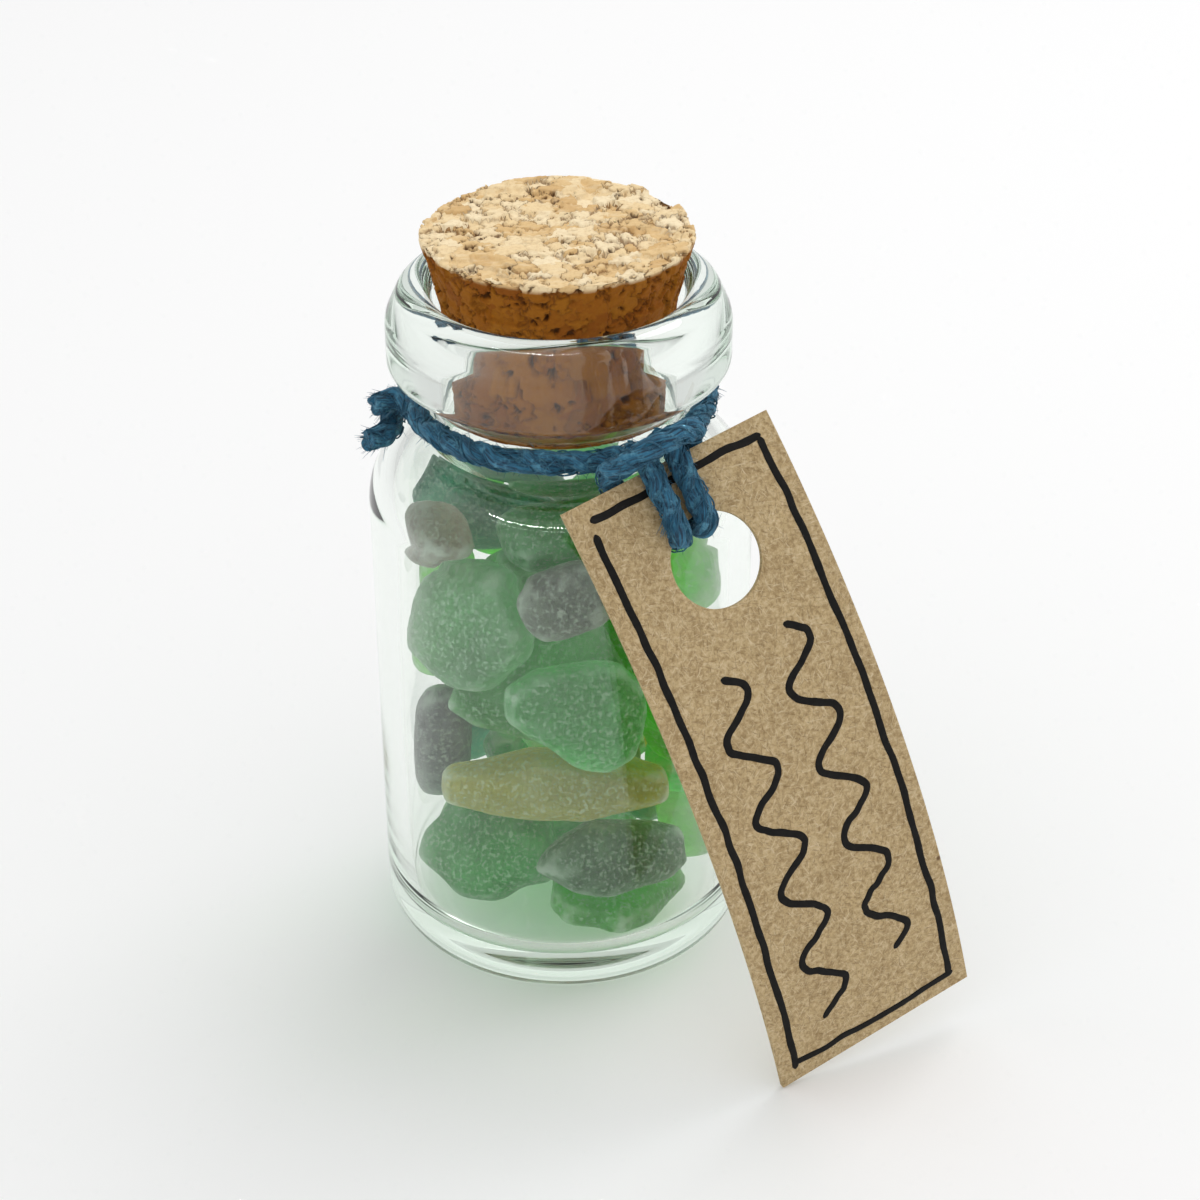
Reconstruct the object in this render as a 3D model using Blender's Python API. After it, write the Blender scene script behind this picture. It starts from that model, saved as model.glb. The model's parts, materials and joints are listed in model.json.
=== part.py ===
"""Small corked bottle of sea glass with a card tag on a cord.

Metres, +Z up. The origin is the middle of the underside of the base. The bottle's axis is Z and the
front, with the tag at its right, faces -Y.
"""

import math

import bmesh
import bpy
import numpy as np
from mathutils import Vector

# Glass
BODY_DIAMETER = 0.0240
GLASS_HEIGHT = 0.0462
WALL_THICKNESS = 0.0015
FLOOR_THICKNESS = 0.0030
HEEL_RADIUS = 0.0036
INNER_CORNER_RADIUS = 0.0022
SHOULDER_RADIUS = 0.0049
NECK_DIAMETER = 0.0161
NECK_FILLET = 0.0006
LIP_DIAMETER = 0.02106
LIP_HEIGHT = 0.00694
LIP_FACE_TOP = 0.00266
LIP_FACE_BOTTOM = 0.00466
LIP_TOP_ROUNDING = 0.0021
LIP_LOW_ROUNDING = 0.00095
LIP_EDGE_RADIUS = 0.0012
BORE_DIAMETER = 0.0143
BORE_TAPER = 0.0004

# Cork
CORK_HEIGHT = 0.0115
CORK_BOTTOM_DIAMETER = 0.0130
CORK_TOP_DIAMETER = 0.0167
CORK_EDGE = 0.0003
CORK_STANDS_OUT = 0.0033
CRUMB_SPACING = 0.0028
CRUMB_STEP = 0.00030

# Cord
CORD_DIAMETER = 0.0014
HITCH_CORD_DIAMETER = 0.0011
CORD_HEIGHT_share = 0.475
TAIL_LENGTH = 0.0019
KNOT_AZIMUTH_DEG = 187.0

# Tag
TAG_WIDTH = 0.0143
TAG_LENGTH = 0.0407
TAG_THICKNESS = 0.00035
TAG_BOW_RADIUS = 0.0684
TAG_SIDE_DEG = -58.1
TAG_TURN_DEG = 6.7
TAG_SPIN_DEG = 13.1
TAG_STANDS_OFF = 0.0024
TAG_SET_IN = 0.0006
HOLE_DIAMETER = 0.0058
HOLE_EDGE_DISTANCE = 0.0036
HOLE_OFF_CENTRE = 0.00025

# Sea glass
HEAP_ROUNDS = 900
HEAP_PULL_share = 0.06
HEAP_HEIGHT_share = 2.90
HEAP_AIM_share = 2.80
HEAP_DROPS = 40
HEADSPACE = 0.0043
PEBBLE_LAYERS = 6
PEBBLE_SIDES = 14

# Spaces between pieces
CLEARANCE = 0.0003
STRAND_GAP = 0.00045
JOINT_GAP = 0.0005
TABLE_CLEARANCE = 0.0001

BOTTLE_SEGMENTS = 64
CORK_SEGMENTS = 48
ARC_STEPS = 7
CORD_STEP_share = 0.34

# Each pebble: azimuth, distance from the axis and height as shares of the space inside, then where its
# flat face looks (azimuth, elevation), roll in that face, length, width, thickness as shares of the inner
# radius, number of corners, how pointed they are, colour.
PEBBLES_shares = (
    (-178.0, 0.56, 0.940, -112.0, 52.0, 12.0, 1.06, 0.70, 0.42, 5, 0.08, "teal_grey"),
    (-166.0, 0.78, 0.810, -156.0, 14.0, 0.0, 0.60, 0.34, 0.32, 4, 0.10, "brown_grey"),
    (170.0, 0.78, 0.690, -172.0, 8.0, 60.0, 0.42, 0.34, 0.34, 3, 0.12, "light_green"),
    (-141.0, 0.80, 0.715, -130.0, 12.0, 14.0, 0.92, 0.80, 0.34, 5, 0.07, "pale_sea"),
    (176.0, 0.80, 0.520, -178.0, 10.0, 80.0, 0.60, 0.44, 0.34, 4, 0.10, "pale_green"),
    (-102.0, 0.78, 0.870, -98.0, 18.0, 20.0, 0.60, 0.46, 0.32, 4, 0.09, "lavender"),
    (-108.0, 0.38, 0.600, -100.0, 22.0, 24.0, 1.14, 0.88, 0.34, 5, 0.10, "mid_green"),
    (-90.0, 0.80, 0.590, -80.0, 10.0, -24.0, 0.92, 0.80, 0.30, 3, 0.14, "sea_green"),
    (-60.0, 0.82, 0.530, -44.0, 6.0, 80.0, 0.92, 0.48, 0.34, 4, 0.12, "bright_green"),
    (-96.0, 0.72, 0.350, -95.0, 20.0, 2.0, 1.44, 0.46, 0.40, 6, 0.06, "olive"),
    (-176.0, 0.82, 0.380, -172.0, 4.0, 84.0, 0.98, 0.46, 0.34, 4, 0.08, "dark_grey"),
    (-122.0, 0.66, 0.150, -120.0, 34.0, 6.0, 1.00, 0.74, 0.34, 5, 0.10, "deep_green"),
    (-66.0, 0.72, 0.210, -66.0, 26.0, -4.0, 1.00, 0.50, 0.34, 5, 0.08, "dark_green"),
    (-54.0, 0.54, 0.045, -60.0, 80.0, 20.0, 1.02, 0.80, 0.24, 5, 0.10, "bright_green"),
    (-8.0, 0.78, 0.140, -6.0, 10.0, 70.0, 0.62, 0.50, 0.32, 4, 0.12, "pale_green"),
    (-16.0, 0.76, 0.800, -14.0, 14.0, 10.0, 0.66, 0.52, 0.34, 4, 0.10, "light_green"),
    (14.0, 0.60, 0.960, 20.0, 62.0, 40.0, 0.54, 0.41, 0.29, 5, 0.08, "teal_grey"),
    (-92.0, 0.40, 1.000, -96.0, 60.0, 16.0, 0.84, 0.56, 0.32, 4, 0.10, "deep_green"),
    (84.0, 0.50, 1.000, 80.0, 70.0, 30.0, 0.63, 0.45, 0.27, 4, 0.10, "pale_sea"),
    (-28.0, 0.76, 0.330, -30.0, 8.0, 20.0, 0.66, 0.56, 0.34, 5, 0.10, "sea_green"),
    (30.0, 0.76, 0.580, 30.0, 10.0, 30.0, 0.68, 0.56, 0.32, 4, 0.10, "mid_green"),
    (20.0, 0.76, 0.280, 20.0, 8.0, 60.0, 0.65, 0.49, 0.32, 4, 0.08, "olive"),
    (62.0, 0.74, 0.780, 60.0, 10.0, 10.0, 0.81, 0.59, 0.32, 5, 0.10, "sea_green"),
    (78.0, 0.76, 0.330, 80.0, 6.0, 40.0, 0.76, 0.61, 0.32, 5, 0.10, "pale_sea"),
    (112.0, 0.75, 0.580, 110.0, 10.0, 70.0, 0.77, 0.56, 0.32, 4, 0.10, "bright_green"),
    (140.0, 0.70, 0.880, 140.0, 20.0, 0.0, 0.77, 0.58, 0.32, 4, 0.10, "light_green"),
    (135.0, 0.75, 0.280, 135.0, 8.0, 20.0, 0.76, 0.59, 0.32, 4, 0.10, "teal_grey"),
    (165.0, 0.76, 0.560, 165.0, 8.0, 70.0, 0.76, 0.58, 0.36, 5, 0.08, "mid_green"),
    (170.0, 0.64, 0.060, 170.0, 70.0, 10.0, 0.81, 0.63, 0.27, 5, 0.10, "pale_green"),
    (60.0, 0.60, 0.060, 60.0, 74.0, 50.0, 0.85, 0.67, 0.27, 5, 0.10, "light_green"),
    (100.0, 0.14, 0.280, 20.0, 40.0, 30.0, 0.81, 0.67, 0.36, 5, 0.10, "deep_green"),
    (10.0, 0.20, 0.790, 30.0, 50.0, 80.0, 0.81, 0.63, 0.36, 5, 0.10, "dark_green"),
    (40.0, 0.30, 0.500, 60.0, 30.0, 20.0, 0.77, 0.59, 0.32, 5, 0.10, "sea_green"),
    (150.0, 0.30, 0.720, 120.0, 44.0, 50.0, 0.72, 0.54, 0.32, 5, 0.10, "mid_green"),
    (-140.0, 0.24, 0.060, -120.0, 80.0, 30.0, 0.70, 0.56, 0.22, 5, 0.10, "deep_green"),
    (60.0, 0.60, 0.050, 60.0, 80.0, 10.0, 0.76, 0.60, 0.22, 5, 0.10, "mid_green"),
    (-100.0, 0.24, 0.360, -90.0, 50.0, 40.0, 0.66, 0.50, 0.26, 4, 0.10, "sea_green"),
    (-40.0, 0.30, 0.640, -60.0, 40.0, 60.0, 0.62, 0.48, 0.26, 5, 0.10, "bright_green"),
    (10.0, 0.30, 0.060, 20.0, 80.0, 40.0, 0.62, 0.50, 0.22, 5, 0.10, "teal_grey"),
)

GLASS_COLOURS = {
    "teal_grey": (0.30, 0.42, 0.40, 1.0),
    "brown_grey": (0.34, 0.27, 0.20, 1.0),
    "light_green": (0.42, 0.62, 0.38, 1.0),
    "pale_sea": (0.50, 0.68, 0.58, 1.0),
    "pale_green": (0.56, 0.70, 0.48, 1.0),
    "lavender": (0.46, 0.44, 0.46, 1.0),
    "mid_green": (0.16, 0.42, 0.24, 1.0),
    "sea_green": (0.34, 0.58, 0.46, 1.0),
    "bright_green": (0.10, 0.46, 0.18, 1.0),
    "olive": (0.36, 0.34, 0.20, 1.0),
    "dark_grey": (0.10, 0.12, 0.12, 1.0),
    "deep_green": (0.05, 0.26, 0.14, 1.0),
    "dark_green": (0.10, 0.18, 0.14, 1.0),
}

# Derived lengths
BODY_RADIUS = BODY_DIAMETER / 2
INNER_RADIUS = BODY_RADIUS - WALL_THICKNESS
NECK_RADIUS = NECK_DIAMETER / 2
LIP_RADIUS = LIP_DIAMETER / 2
BORE_RADIUS = BORE_DIAMETER / 2
LIP_UNDERSIDE_Z = GLASS_HEIGHT - LIP_HEIGHT
SHOULDER_CENTRE_R = BODY_RADIUS - SHOULDER_RADIUS
NECK_BAND = 2.05 * CORD_DIAMETER
SHOULDER_RISE = math.sqrt(SHOULDER_RADIUS**2 - (NECK_RADIUS - SHOULDER_CENTRE_R) ** 2)
SHOULDER_CENTRE_Z = LIP_UNDERSIDE_Z - NECK_BAND - SHOULDER_RISE
CAVITY_FLOOR_Z = FLOOR_THICKNESS
CAVITY_TOP_Z = SHOULDER_CENTRE_Z + SHOULDER_RADIUS - WALL_THICKNESS
CORK_TOP_Z = GLASS_HEIGHT + CORK_STANDS_OUT
CORK_BOTTOM_Z = CORK_TOP_Z - CORK_HEIGHT
RING_RADIUS = NECK_RADIUS + CLEARANCE + CORD_DIAMETER / 2
RING_Z = LIP_UNDERSIDE_Z - NECK_BAND * (1 - CORD_HEIGHT_share) + 0.5 * CORD_DIAMETER


def clear_scene():
    for obj in list(bpy.data.objects):
        bpy.data.objects.remove(obj, do_unlink=True)


def material(name, colour, roughness, metallic=0.0, transmission=0.0):
    made = bpy.data.materials.new(name)
    made.use_nodes = True
    shader = made.node_tree.nodes["Principled BSDF"]
    shader.inputs["Base Color"].default_value = colour
    shader.inputs["Roughness"].default_value = roughness
    shader.inputs["Metallic"].default_value = metallic
    shader.inputs["Transmission Weight"].default_value = transmission
    made.diffuse_color = colour
    return made


def mesh_object(name, points, faces, made, smooth=True):
    """A mesh object with its faces turned outward."""
    mesh = bpy.data.meshes.new(name)
    mesh.from_pydata([tuple(p) for p in points], [], faces)
    shape = bmesh.new()
    shape.from_mesh(mesh)
    bmesh.ops.recalc_face_normals(shape, faces=shape.faces)
    if shape.calc_volume(signed=True) < 0:
        bmesh.ops.reverse_faces(shape, faces=shape.faces)
    shape.to_mesh(mesh)
    shape.free()
    for face in mesh.polygons:
        face.use_smooth = smooth
    mesh.materials.append(made)
    obj = bpy.data.objects.new(name, mesh)
    bpy.context.scene.collection.objects.link(obj)
    return obj


def move_origin(obj, where):
    """Puts the object's origin at a point without moving its shape."""
    shift = Vector(where)
    for vertex in obj.data.vertices:
        vertex.co -= shift
    obj.location = shift


def arc(centre_r, centre_z, radius, start_deg, end_deg, steps=ARC_STEPS):
    """Points of an arc in the (r, z) plane, with 0 degrees outward and 90 up."""
    turns = [math.radians(start_deg + (end_deg - start_deg) * i / steps) for i in range(steps + 1)]
    return [(centre_r + radius * math.cos(a), centre_z + radius * math.sin(a)) for a in turns]


def revolve(name, profile, segments, made):
    """A closed profile, from axis to axis, turned about Z."""
    points = []
    rings = []
    for r, z in profile:
        if r < CLEARANCE / 2:
            rings.append([len(points)])
            points.append((0, 0, z))
            continue
        rings.append(list(range(len(points), len(points) + segments)))
        for i in range(segments):
            turn = 2 * math.pi * i / segments
            points.append((r * math.cos(turn), r * math.sin(turn), z))
    faces = []
    for low, high in zip(rings, rings[1:]):
        for i in range(segments):
            j = (i + 1) % segments
            if len(low) == 1:
                faces.append((low[0], high[i], high[j]))
            elif len(high) == 1:
                faces.append((low[i], low[j], high[0]))
            else:
                faces.append((low[i], low[j], high[j], high[i]))
    return mesh_object(name, points, faces, made)


def tangent_turn(start, end, reach):
    """Direction square to a line that touches two circles, from their centres and what their radii make."""
    r, z = end[0] - start[0], end[1] - start[1]
    share = reach / math.hypot(r, z)
    return math.degrees(math.atan2(z, r) + math.acos(min(1, max(-1, share))))


def bottle_profile():
    """Outside from the middle of the base up over the lip, then down the bore to the middle of the floor."""
    fillet = NECK_FILLET
    shoulder_top = math.degrees(
        math.acos((NECK_RADIUS + fillet - SHOULDER_CENTRE_R) / (SHOULDER_RADIUS + fillet))
    )
    low_fillet_z = SHOULDER_CENTRE_Z + (SHOULDER_RADIUS + fillet) * math.sin(math.radians(shoulder_top))
    under = (NECK_RADIUS + fillet, LIP_UNDERSIDE_Z - 0.7 * fillet)
    low = (LIP_RADIUS - LIP_LOW_ROUNDING, GLASS_HEIGHT - LIP_FACE_BOTTOM)
    high = (LIP_RADIUS - LIP_TOP_ROUNDING, GLASS_HEIGHT - LIP_FACE_TOP)
    edge = (BORE_RADIUS + BORE_TAPER + LIP_EDGE_RADIUS, GLASS_HEIGHT - LIP_EDGE_RADIUS)
    under_turn = tangent_turn(low, under, LIP_LOW_ROUNDING + fillet)
    over_turn = tangent_turn(edge, high, LIP_EDGE_RADIUS - LIP_TOP_ROUNDING)
    inner_turn = math.degrees(
        math.acos((BORE_RADIUS + fillet - SHOULDER_CENTRE_R) / (SHOULDER_RADIUS - WALL_THICKNESS + fillet))
    )
    inner_z = SHOULDER_CENTRE_Z + (SHOULDER_RADIUS - WALL_THICKNESS + fillet) * math.sin(
        math.radians(inner_turn)
    )
    points = [(0, 0)]
    points += arc(BODY_RADIUS - HEEL_RADIUS, HEEL_RADIUS, HEEL_RADIUS, -90, 0)
    points += arc(SHOULDER_CENTRE_R, SHOULDER_CENTRE_Z, SHOULDER_RADIUS, 0, shoulder_top)
    points += arc(NECK_RADIUS + fillet, low_fillet_z, fillet, 180 + shoulder_top, 180, 3)[1:]
    points += arc(*under, fillet, 180, 180 + under_turn, 3)
    points += arc(*low, LIP_LOW_ROUNDING, under_turn, 0, 4)
    points += arc(*high, LIP_TOP_ROUNDING, 0, over_turn, 4)
    points += arc(*edge, LIP_EDGE_RADIUS, over_turn, 180, 7)
    points += [(BORE_RADIUS, inner_z + fillet)]
    points += arc(BORE_RADIUS + fillet, inner_z, fillet, 180, 180 + inner_turn, 3)
    points += arc(SHOULDER_CENTRE_R, SHOULDER_CENTRE_Z, SHOULDER_RADIUS - WALL_THICKNESS, inner_turn, 0)[1:]
    corner_r = INNER_RADIUS - INNER_CORNER_RADIUS
    corner_z = CAVITY_FLOOR_Z + INNER_CORNER_RADIUS
    points += arc(corner_r, corner_z, INNER_CORNER_RADIUS, 0, -90)
    points += [(0, CAVITY_FLOOR_Z)]
    return points


def bore_radius_at(z):
    """The bore's radius at a height, narrowing evenly from the lip down to the shoulder."""
    top = GLASS_HEIGHT - LIP_EDGE_RADIUS
    share = (z - CAVITY_TOP_Z) / (top - CAVITY_TOP_Z)
    return BORE_RADIUS + BORE_TAPER * min(1, max(0, share))


def cork_profile():
    mouth_z = GLASS_HEIGHT - LIP_EDGE_RADIUS
    mouth_r = bore_radius_at(mouth_z) - CLEARANCE
    low_r = min(CORK_BOTTOM_DIAMETER / 2, bore_radius_at(CORK_BOTTOM_Z) - CLEARANCE)
    top_r = CORK_TOP_DIAMETER / 2
    edge = CORK_EDGE
    points = [(0, CORK_BOTTOM_Z), (low_r - edge, CORK_BOTTOM_Z)]
    points += arc(low_r - edge, CORK_BOTTOM_Z + edge, edge, -90, 0, 2)[1:]
    for share in (0.35, 0.7, 1.0):
        z = CORK_BOTTOM_Z + edge + (mouth_z - CORK_BOTTOM_Z - edge) * share
        points.append((low_r + (mouth_r - low_r) * share, z))
    rim_z = CORK_TOP_Z - edge
    for share in (0.30, 0.54, 0.78):
        points.append((mouth_r + (top_r - mouth_r) * share, mouth_z + (rim_z - mouth_z) * share))
    points += arc(top_r - edge, rim_z, edge, 0, 90, 2)
    points += [(top_r * share, CORK_TOP_Z) for share in (0.86, 0.74, 0.62, 0.50, 0.37, 0.24)]
    points += [(0, CORK_TOP_Z)]
    return points


def crumb_spots():
    """The middles of the cork's largest crumbs, in a spiral over its top and in rows round its bare side."""
    top_r = CORK_TOP_DIAMETER / 2
    golden = math.pi * (3 - math.sqrt(5))
    count = round(math.pi * top_r**2 / CRUMB_SPACING**2)
    spots = []
    for i in range(count):
        r = top_r * math.sqrt((i + 0.5) / count)
        spots.append(Vector((r * math.cos(golden * i), r * math.sin(golden * i), CORK_TOP_Z)))
    rows = max(1, round(CORK_STANDS_OUT / CRUMB_SPACING))
    around = max(3, round(2 * math.pi * top_r / CRUMB_SPACING))
    for row in range(rows):
        z = CORK_TOP_Z - CORK_STANDS_OUT * (row + 1) / (rows + 0.5)
        for i in range(around):
            turn = 2 * math.pi * (i + 0.5 * row) / around
            spots.append(Vector((top_r * math.cos(turn), top_r * math.sin(turn), z)))
    return spots


def crumble(cork):
    """Lowers each crumb of the cork's bare surface by its own share of the step, and leaves the middle flat."""
    spots = crumb_spots()
    shares = [max(0, (math.sin(12.9898 * i) * 43758.5453 % 1 - 0.4) / 0.6) for i in range(len(spots))]
    shares[0] = 0
    for vertex in cork.data.vertices:
        place = vertex.co.copy()
        if place.z < GLASS_HEIGHT + CORK_EDGE:
            continue
        nearest = min(range(len(spots)), key=lambda i: (spots[i] - place).length)
        depth = CRUMB_STEP * shares[nearest]
        out = Vector((place.x, place.y, 0))
        if out.length > CORK_TOP_DIAMETER / 2 * 0.9:
            vertex.co -= out.normalized() * depth
        if place.z > CORK_TOP_Z - 1.5 * CORK_EDGE:
            vertex.co.z -= depth
    cork.data.update()


def smooth_path(controls, step):
    """Even points along a smooth curve through every control point."""
    held = [Vector(p) for p in controls]
    held = [held[0] * 2 - held[1]] + held + [held[-1] * 2 - held[-2]]
    dense = []
    for a, b, c, d in zip(held, held[1:], held[2:], held[3:]):
        knots = [0.0]
        for p, q in ((a, b), (b, c), (c, d)):
            knots.append(knots[-1] + max((q - p).length, step / 8) ** 0.5)
        for i in range(24):
            t = knots[1] + (knots[2] - knots[1]) * i / 24
            one = [
                (p * (v - t) + q * (t - u)) / (v - u)
                for p, q, u, v in zip((a, b, c), (b, c, d), knots, knots[1:])
            ]
            two = [
                (p * (v - t) + q * (t - u)) / (v - u)
                for p, q, u, v in zip(one, one[1:], knots, knots[2:])
            ]
            dense.append((two[0] * (knots[2] - t) + two[1] * (t - knots[1])) / (knots[2] - knots[1]))
    dense.append(held[-2])
    walked = [0.0]
    for p, q in zip(dense, dense[1:]):
        walked.append(walked[-1] + (q - p).length)
    count = max(2, round(walked[-1] / step))
    marks = np.linspace(0, walked[-1], count + 1)
    table = np.array([tuple(p) for p in dense])
    return [Vector(p) for p in np.stack([np.interp(marks, walked, table[:, k]) for k in range(3)], 1)]


def tube(name, points, diameter, made, origin=(0, 0, 0)):
    """A round cord along the points, as one curve with closed ends."""
    shift = Vector(origin)
    curve = bpy.data.curves.new(name, "CURVE")
    curve.dimensions = "3D"
    curve.bevel_depth = diameter / 2
    curve.bevel_resolution = 1
    curve.use_fill_caps = True
    curve.twist_mode = "MINIMUM"
    line = curve.splines.new("POLY")
    line.points.add(len(points) - 1)
    for point, where in zip(line.points, points):
        point.co = (*(where - shift), 1)
    curve.materials.append(made)
    obj = bpy.data.objects.new(name, curve)
    obj.location = shift
    bpy.context.scene.collection.objects.link(obj)
    return obj


def least_gap(points, diameter):
    """The least space between turns of one cord that aren't neighbours along it."""
    where = np.array([tuple(p) for p in points])
    along = np.concatenate([[0], np.cumsum(np.linalg.norm(np.diff(where, axis=0), axis=1))])
    apart = np.linalg.norm(where[:, None] - where[None], axis=2)
    apart[np.abs(along[:, None] - along[None]) < 3.2 * diameter] = np.inf
    return float(apart.min()) - diameter


def ring_point(azimuth_deg, radius=RING_RADIUS, z=RING_Z):
    turn = math.radians(azimuth_deg)
    return Vector((radius * math.cos(turn), radius * math.sin(turn), z))


class TagFrame:
    """The bowed card: width w, down the card t, and n toward the bottle, from the middle of its top edge."""

    def __init__(self, lean_deg):
        side = math.radians(TAG_SIDE_DEG)
        radius = max(RING_RADIUS + TAG_STANDS_OFF, BODY_RADIUS - TAG_SET_IN)
        self.top = Vector((radius * math.cos(side), radius * math.sin(side), RING_Z + 0.27 * CORD_DIAMETER))
        turn = math.radians(TAG_SIDE_DEG + 90 - TAG_TURN_DEG)
        lean = math.radians(lean_deg)
        wide = Vector((math.cos(turn), math.sin(turn), 0))
        out = Vector((math.sin(turn), -math.cos(turn), 0))
        down = out * math.sin(lean) - Vector((0, 0, 1)) * math.cos(lean)
        spin = -math.radians(TAG_SPIN_DEG)
        self.w = wide * math.cos(spin) + down * math.sin(spin)
        middle = down * math.cos(spin) - wide * math.sin(spin)
        inward = self.w.cross(middle)
        half_bow = TAG_LENGTH / TAG_BOW_RADIUS / 2
        self.t = middle * math.cos(half_bow) - inward * math.sin(half_bow)
        self.n = inward * math.cos(half_bow) + middle * math.sin(half_bow)

    def at(self, across, out, up):
        """A point from shares of the card: across it, out from its middle surface, up from its top edge."""
        bend = -up / TAG_BOW_RADIUS
        run = self.t * math.sin(bend) + self.n * (1 - math.cos(bend))
        normal = self.n * math.cos(bend) - self.t * math.sin(bend)
        return self.top + run * TAG_BOW_RADIUS + self.w * across - normal * out


def standing_tag():
    """The tag leaned out until its lower corner stands just clear of the table."""
    low, high = 5.0, 75.0
    for _ in range(40):
        lean = (low + high) / 2
        frame = TagFrame(lean)
        corner = frame.at(-TAG_WIDTH / 2, -TAG_THICKNESS / 2, -TAG_LENGTH)
        if corner.z < TABLE_CLEARANCE:
            low = lean
        else:
            high = lean
    return TagFrame(high)


def build_tag(frame, made, hinge):
    """The card as a grid bent to its bow, with the punched hole near the top edge."""
    sides = 8
    hole_r = HOLE_DIAMETER / 2
    hole_v = HOLE_EDGE_DISTANCE + hole_r
    square_v = 2 * hole_v
    half = TAG_WIDTH / 2
    rim = []
    for i in range(sides):
        rim.append((-half + TAG_WIDTH * i / sides, 0))
    for i in range(sides):
        rim.append((half, square_v * i / sides))
    for i in range(sides):
        rim.append((half - TAG_WIDTH * i / sides, square_v))
    for i in range(sides):
        rim.append((-half, square_v * (1 - i / sides)))
    count = len(rim)
    rings = []
    for share in (0, 0.25, 0.6, 1):
        ring = []
        for i, (u, v) in enumerate(rim):
            turn = math.atan2((v - hole_v) / hole_v, u / half)
            hole_u = HOLE_OFF_CENTRE + hole_r * math.cos(turn)
            edge_v = hole_v + hole_r * math.sin(turn)
            ring.append((hole_u + (u - hole_u) * share, edge_v + (v - edge_v) * share))
        rings.append(ring)
    flat = [p for ring in rings for p in ring]
    quads = []
    for k in range(3):
        for i in range(count):
            j = (i + 1) % count
            quads.append((k * count + i, k * count + j, (k + 1) * count + j, (k + 1) * count + i))
    above = [3 * count + 3 * sides - i for i in range(sides + 1)]
    rows = 12
    for k in range(1, rows + 1):
        v = square_v + (TAG_LENGTH - square_v) * k / rows
        row = list(range(len(flat), len(flat) + sides + 1))
        flat += [(-half + TAG_WIDTH * i / sides, v) for i in range(sides + 1)]
        for i in range(sides):
            quads.append((above[i], row[i], row[i + 1], above[i + 1]))
        above = row
    half_thick = TAG_THICKNESS / 2
    points = [frame.at(u, half_thick, -v) for u, v in flat] + [frame.at(u, -half_thick, -v) for u, v in flat]
    edges = {}
    for quad in quads:
        for a, b in zip(quad, quad[1:] + quad[:1]):
            if (b, a) in edges:
                del edges[(b, a)]
            else:
                edges[(a, b)] = True
    size = len(flat)
    faces = list(quads)
    faces += [tuple(i + size for i in reversed(quad)) for quad in quads]
    faces += [(b, a, a + size, b + size) for a, b in edges]
    obj = mesh_object("tag", points, faces, made, smooth=False)
    move_origin(obj, hinge)
    return obj


def strand_places():
    """Distances that the strands at the card share: the leg and the outer turn from the middle of the hitch, and
    the height and reach of the joint between the neck loop and the hitch."""
    pitch = HITCH_CORD_DIAMETER + STRAND_GAP
    over = TAG_THICKNESS / 2 + CLEARANCE + CORD_DIAMETER / 2
    return 0.60 * pitch, 1.84 * pitch, 0.42 * over, 1.08 * over


def hitch_path(frame):
    """The cow hitch: down the card's face and through the hole, up behind, over the top edge and across both
    legs, then the same in mirror."""
    d = HITCH_CORD_DIAMETER
    off = TAG_THICKNESS / 2 + CLEARANCE + d / 2
    pitch = d + STRAND_GAP
    strip = HOLE_EDGE_DISTANCE
    leg, wide, joint_out, joint_up = strand_places()
    half = [
        (leg, joint_out + 0.95 * JOINT_GAP, joint_up - 0.16 * JOINT_GAP),
        (leg, 1.12 * off, 0.42 * off),
        (leg, 1.06 * off, -0.16 * strip),
        (leg, 1.02 * off, -0.50 * strip),
        (leg, 1.02 * off, -0.90 * strip),
        (leg, 0.80 * off, -strip - 0.86 * off),
        (leg, 0, -strip - 1.30 * off),
        (leg * 1.05, -0.80 * off, -strip - 0.84 * off),
        (leg * 1.30, -1.04 * off, -0.90 * strip),
        (wide * 0.80, -1.04 * off, -0.45 * strip),
        (wide * 0.95, -1.04 * off, -0.08 * strip),
        (wide, -0.72 * off, 0.72 * off),
        (wide, 0.05 * off, 1.02 * off),
        (wide * 0.98, 0.85 * off, 1.00 * off),
        (wide * 0.82, 1.75 * off, 1.02 * off),
        (wide * 0.48, off + 1.00 * pitch, 1.12 * off),
    ]
    middle = HOLE_OFF_CENTRE
    controls = [frame.at(middle - u, h, a) for u, h, a in half]
    controls += [frame.at(middle, off + 1.14 * pitch, 1.16 * off)]
    controls += [frame.at(middle + u, h, a) for u, h, a in reversed(half)]
    return smooth_path(controls, CORD_STEP_share * d)


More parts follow.
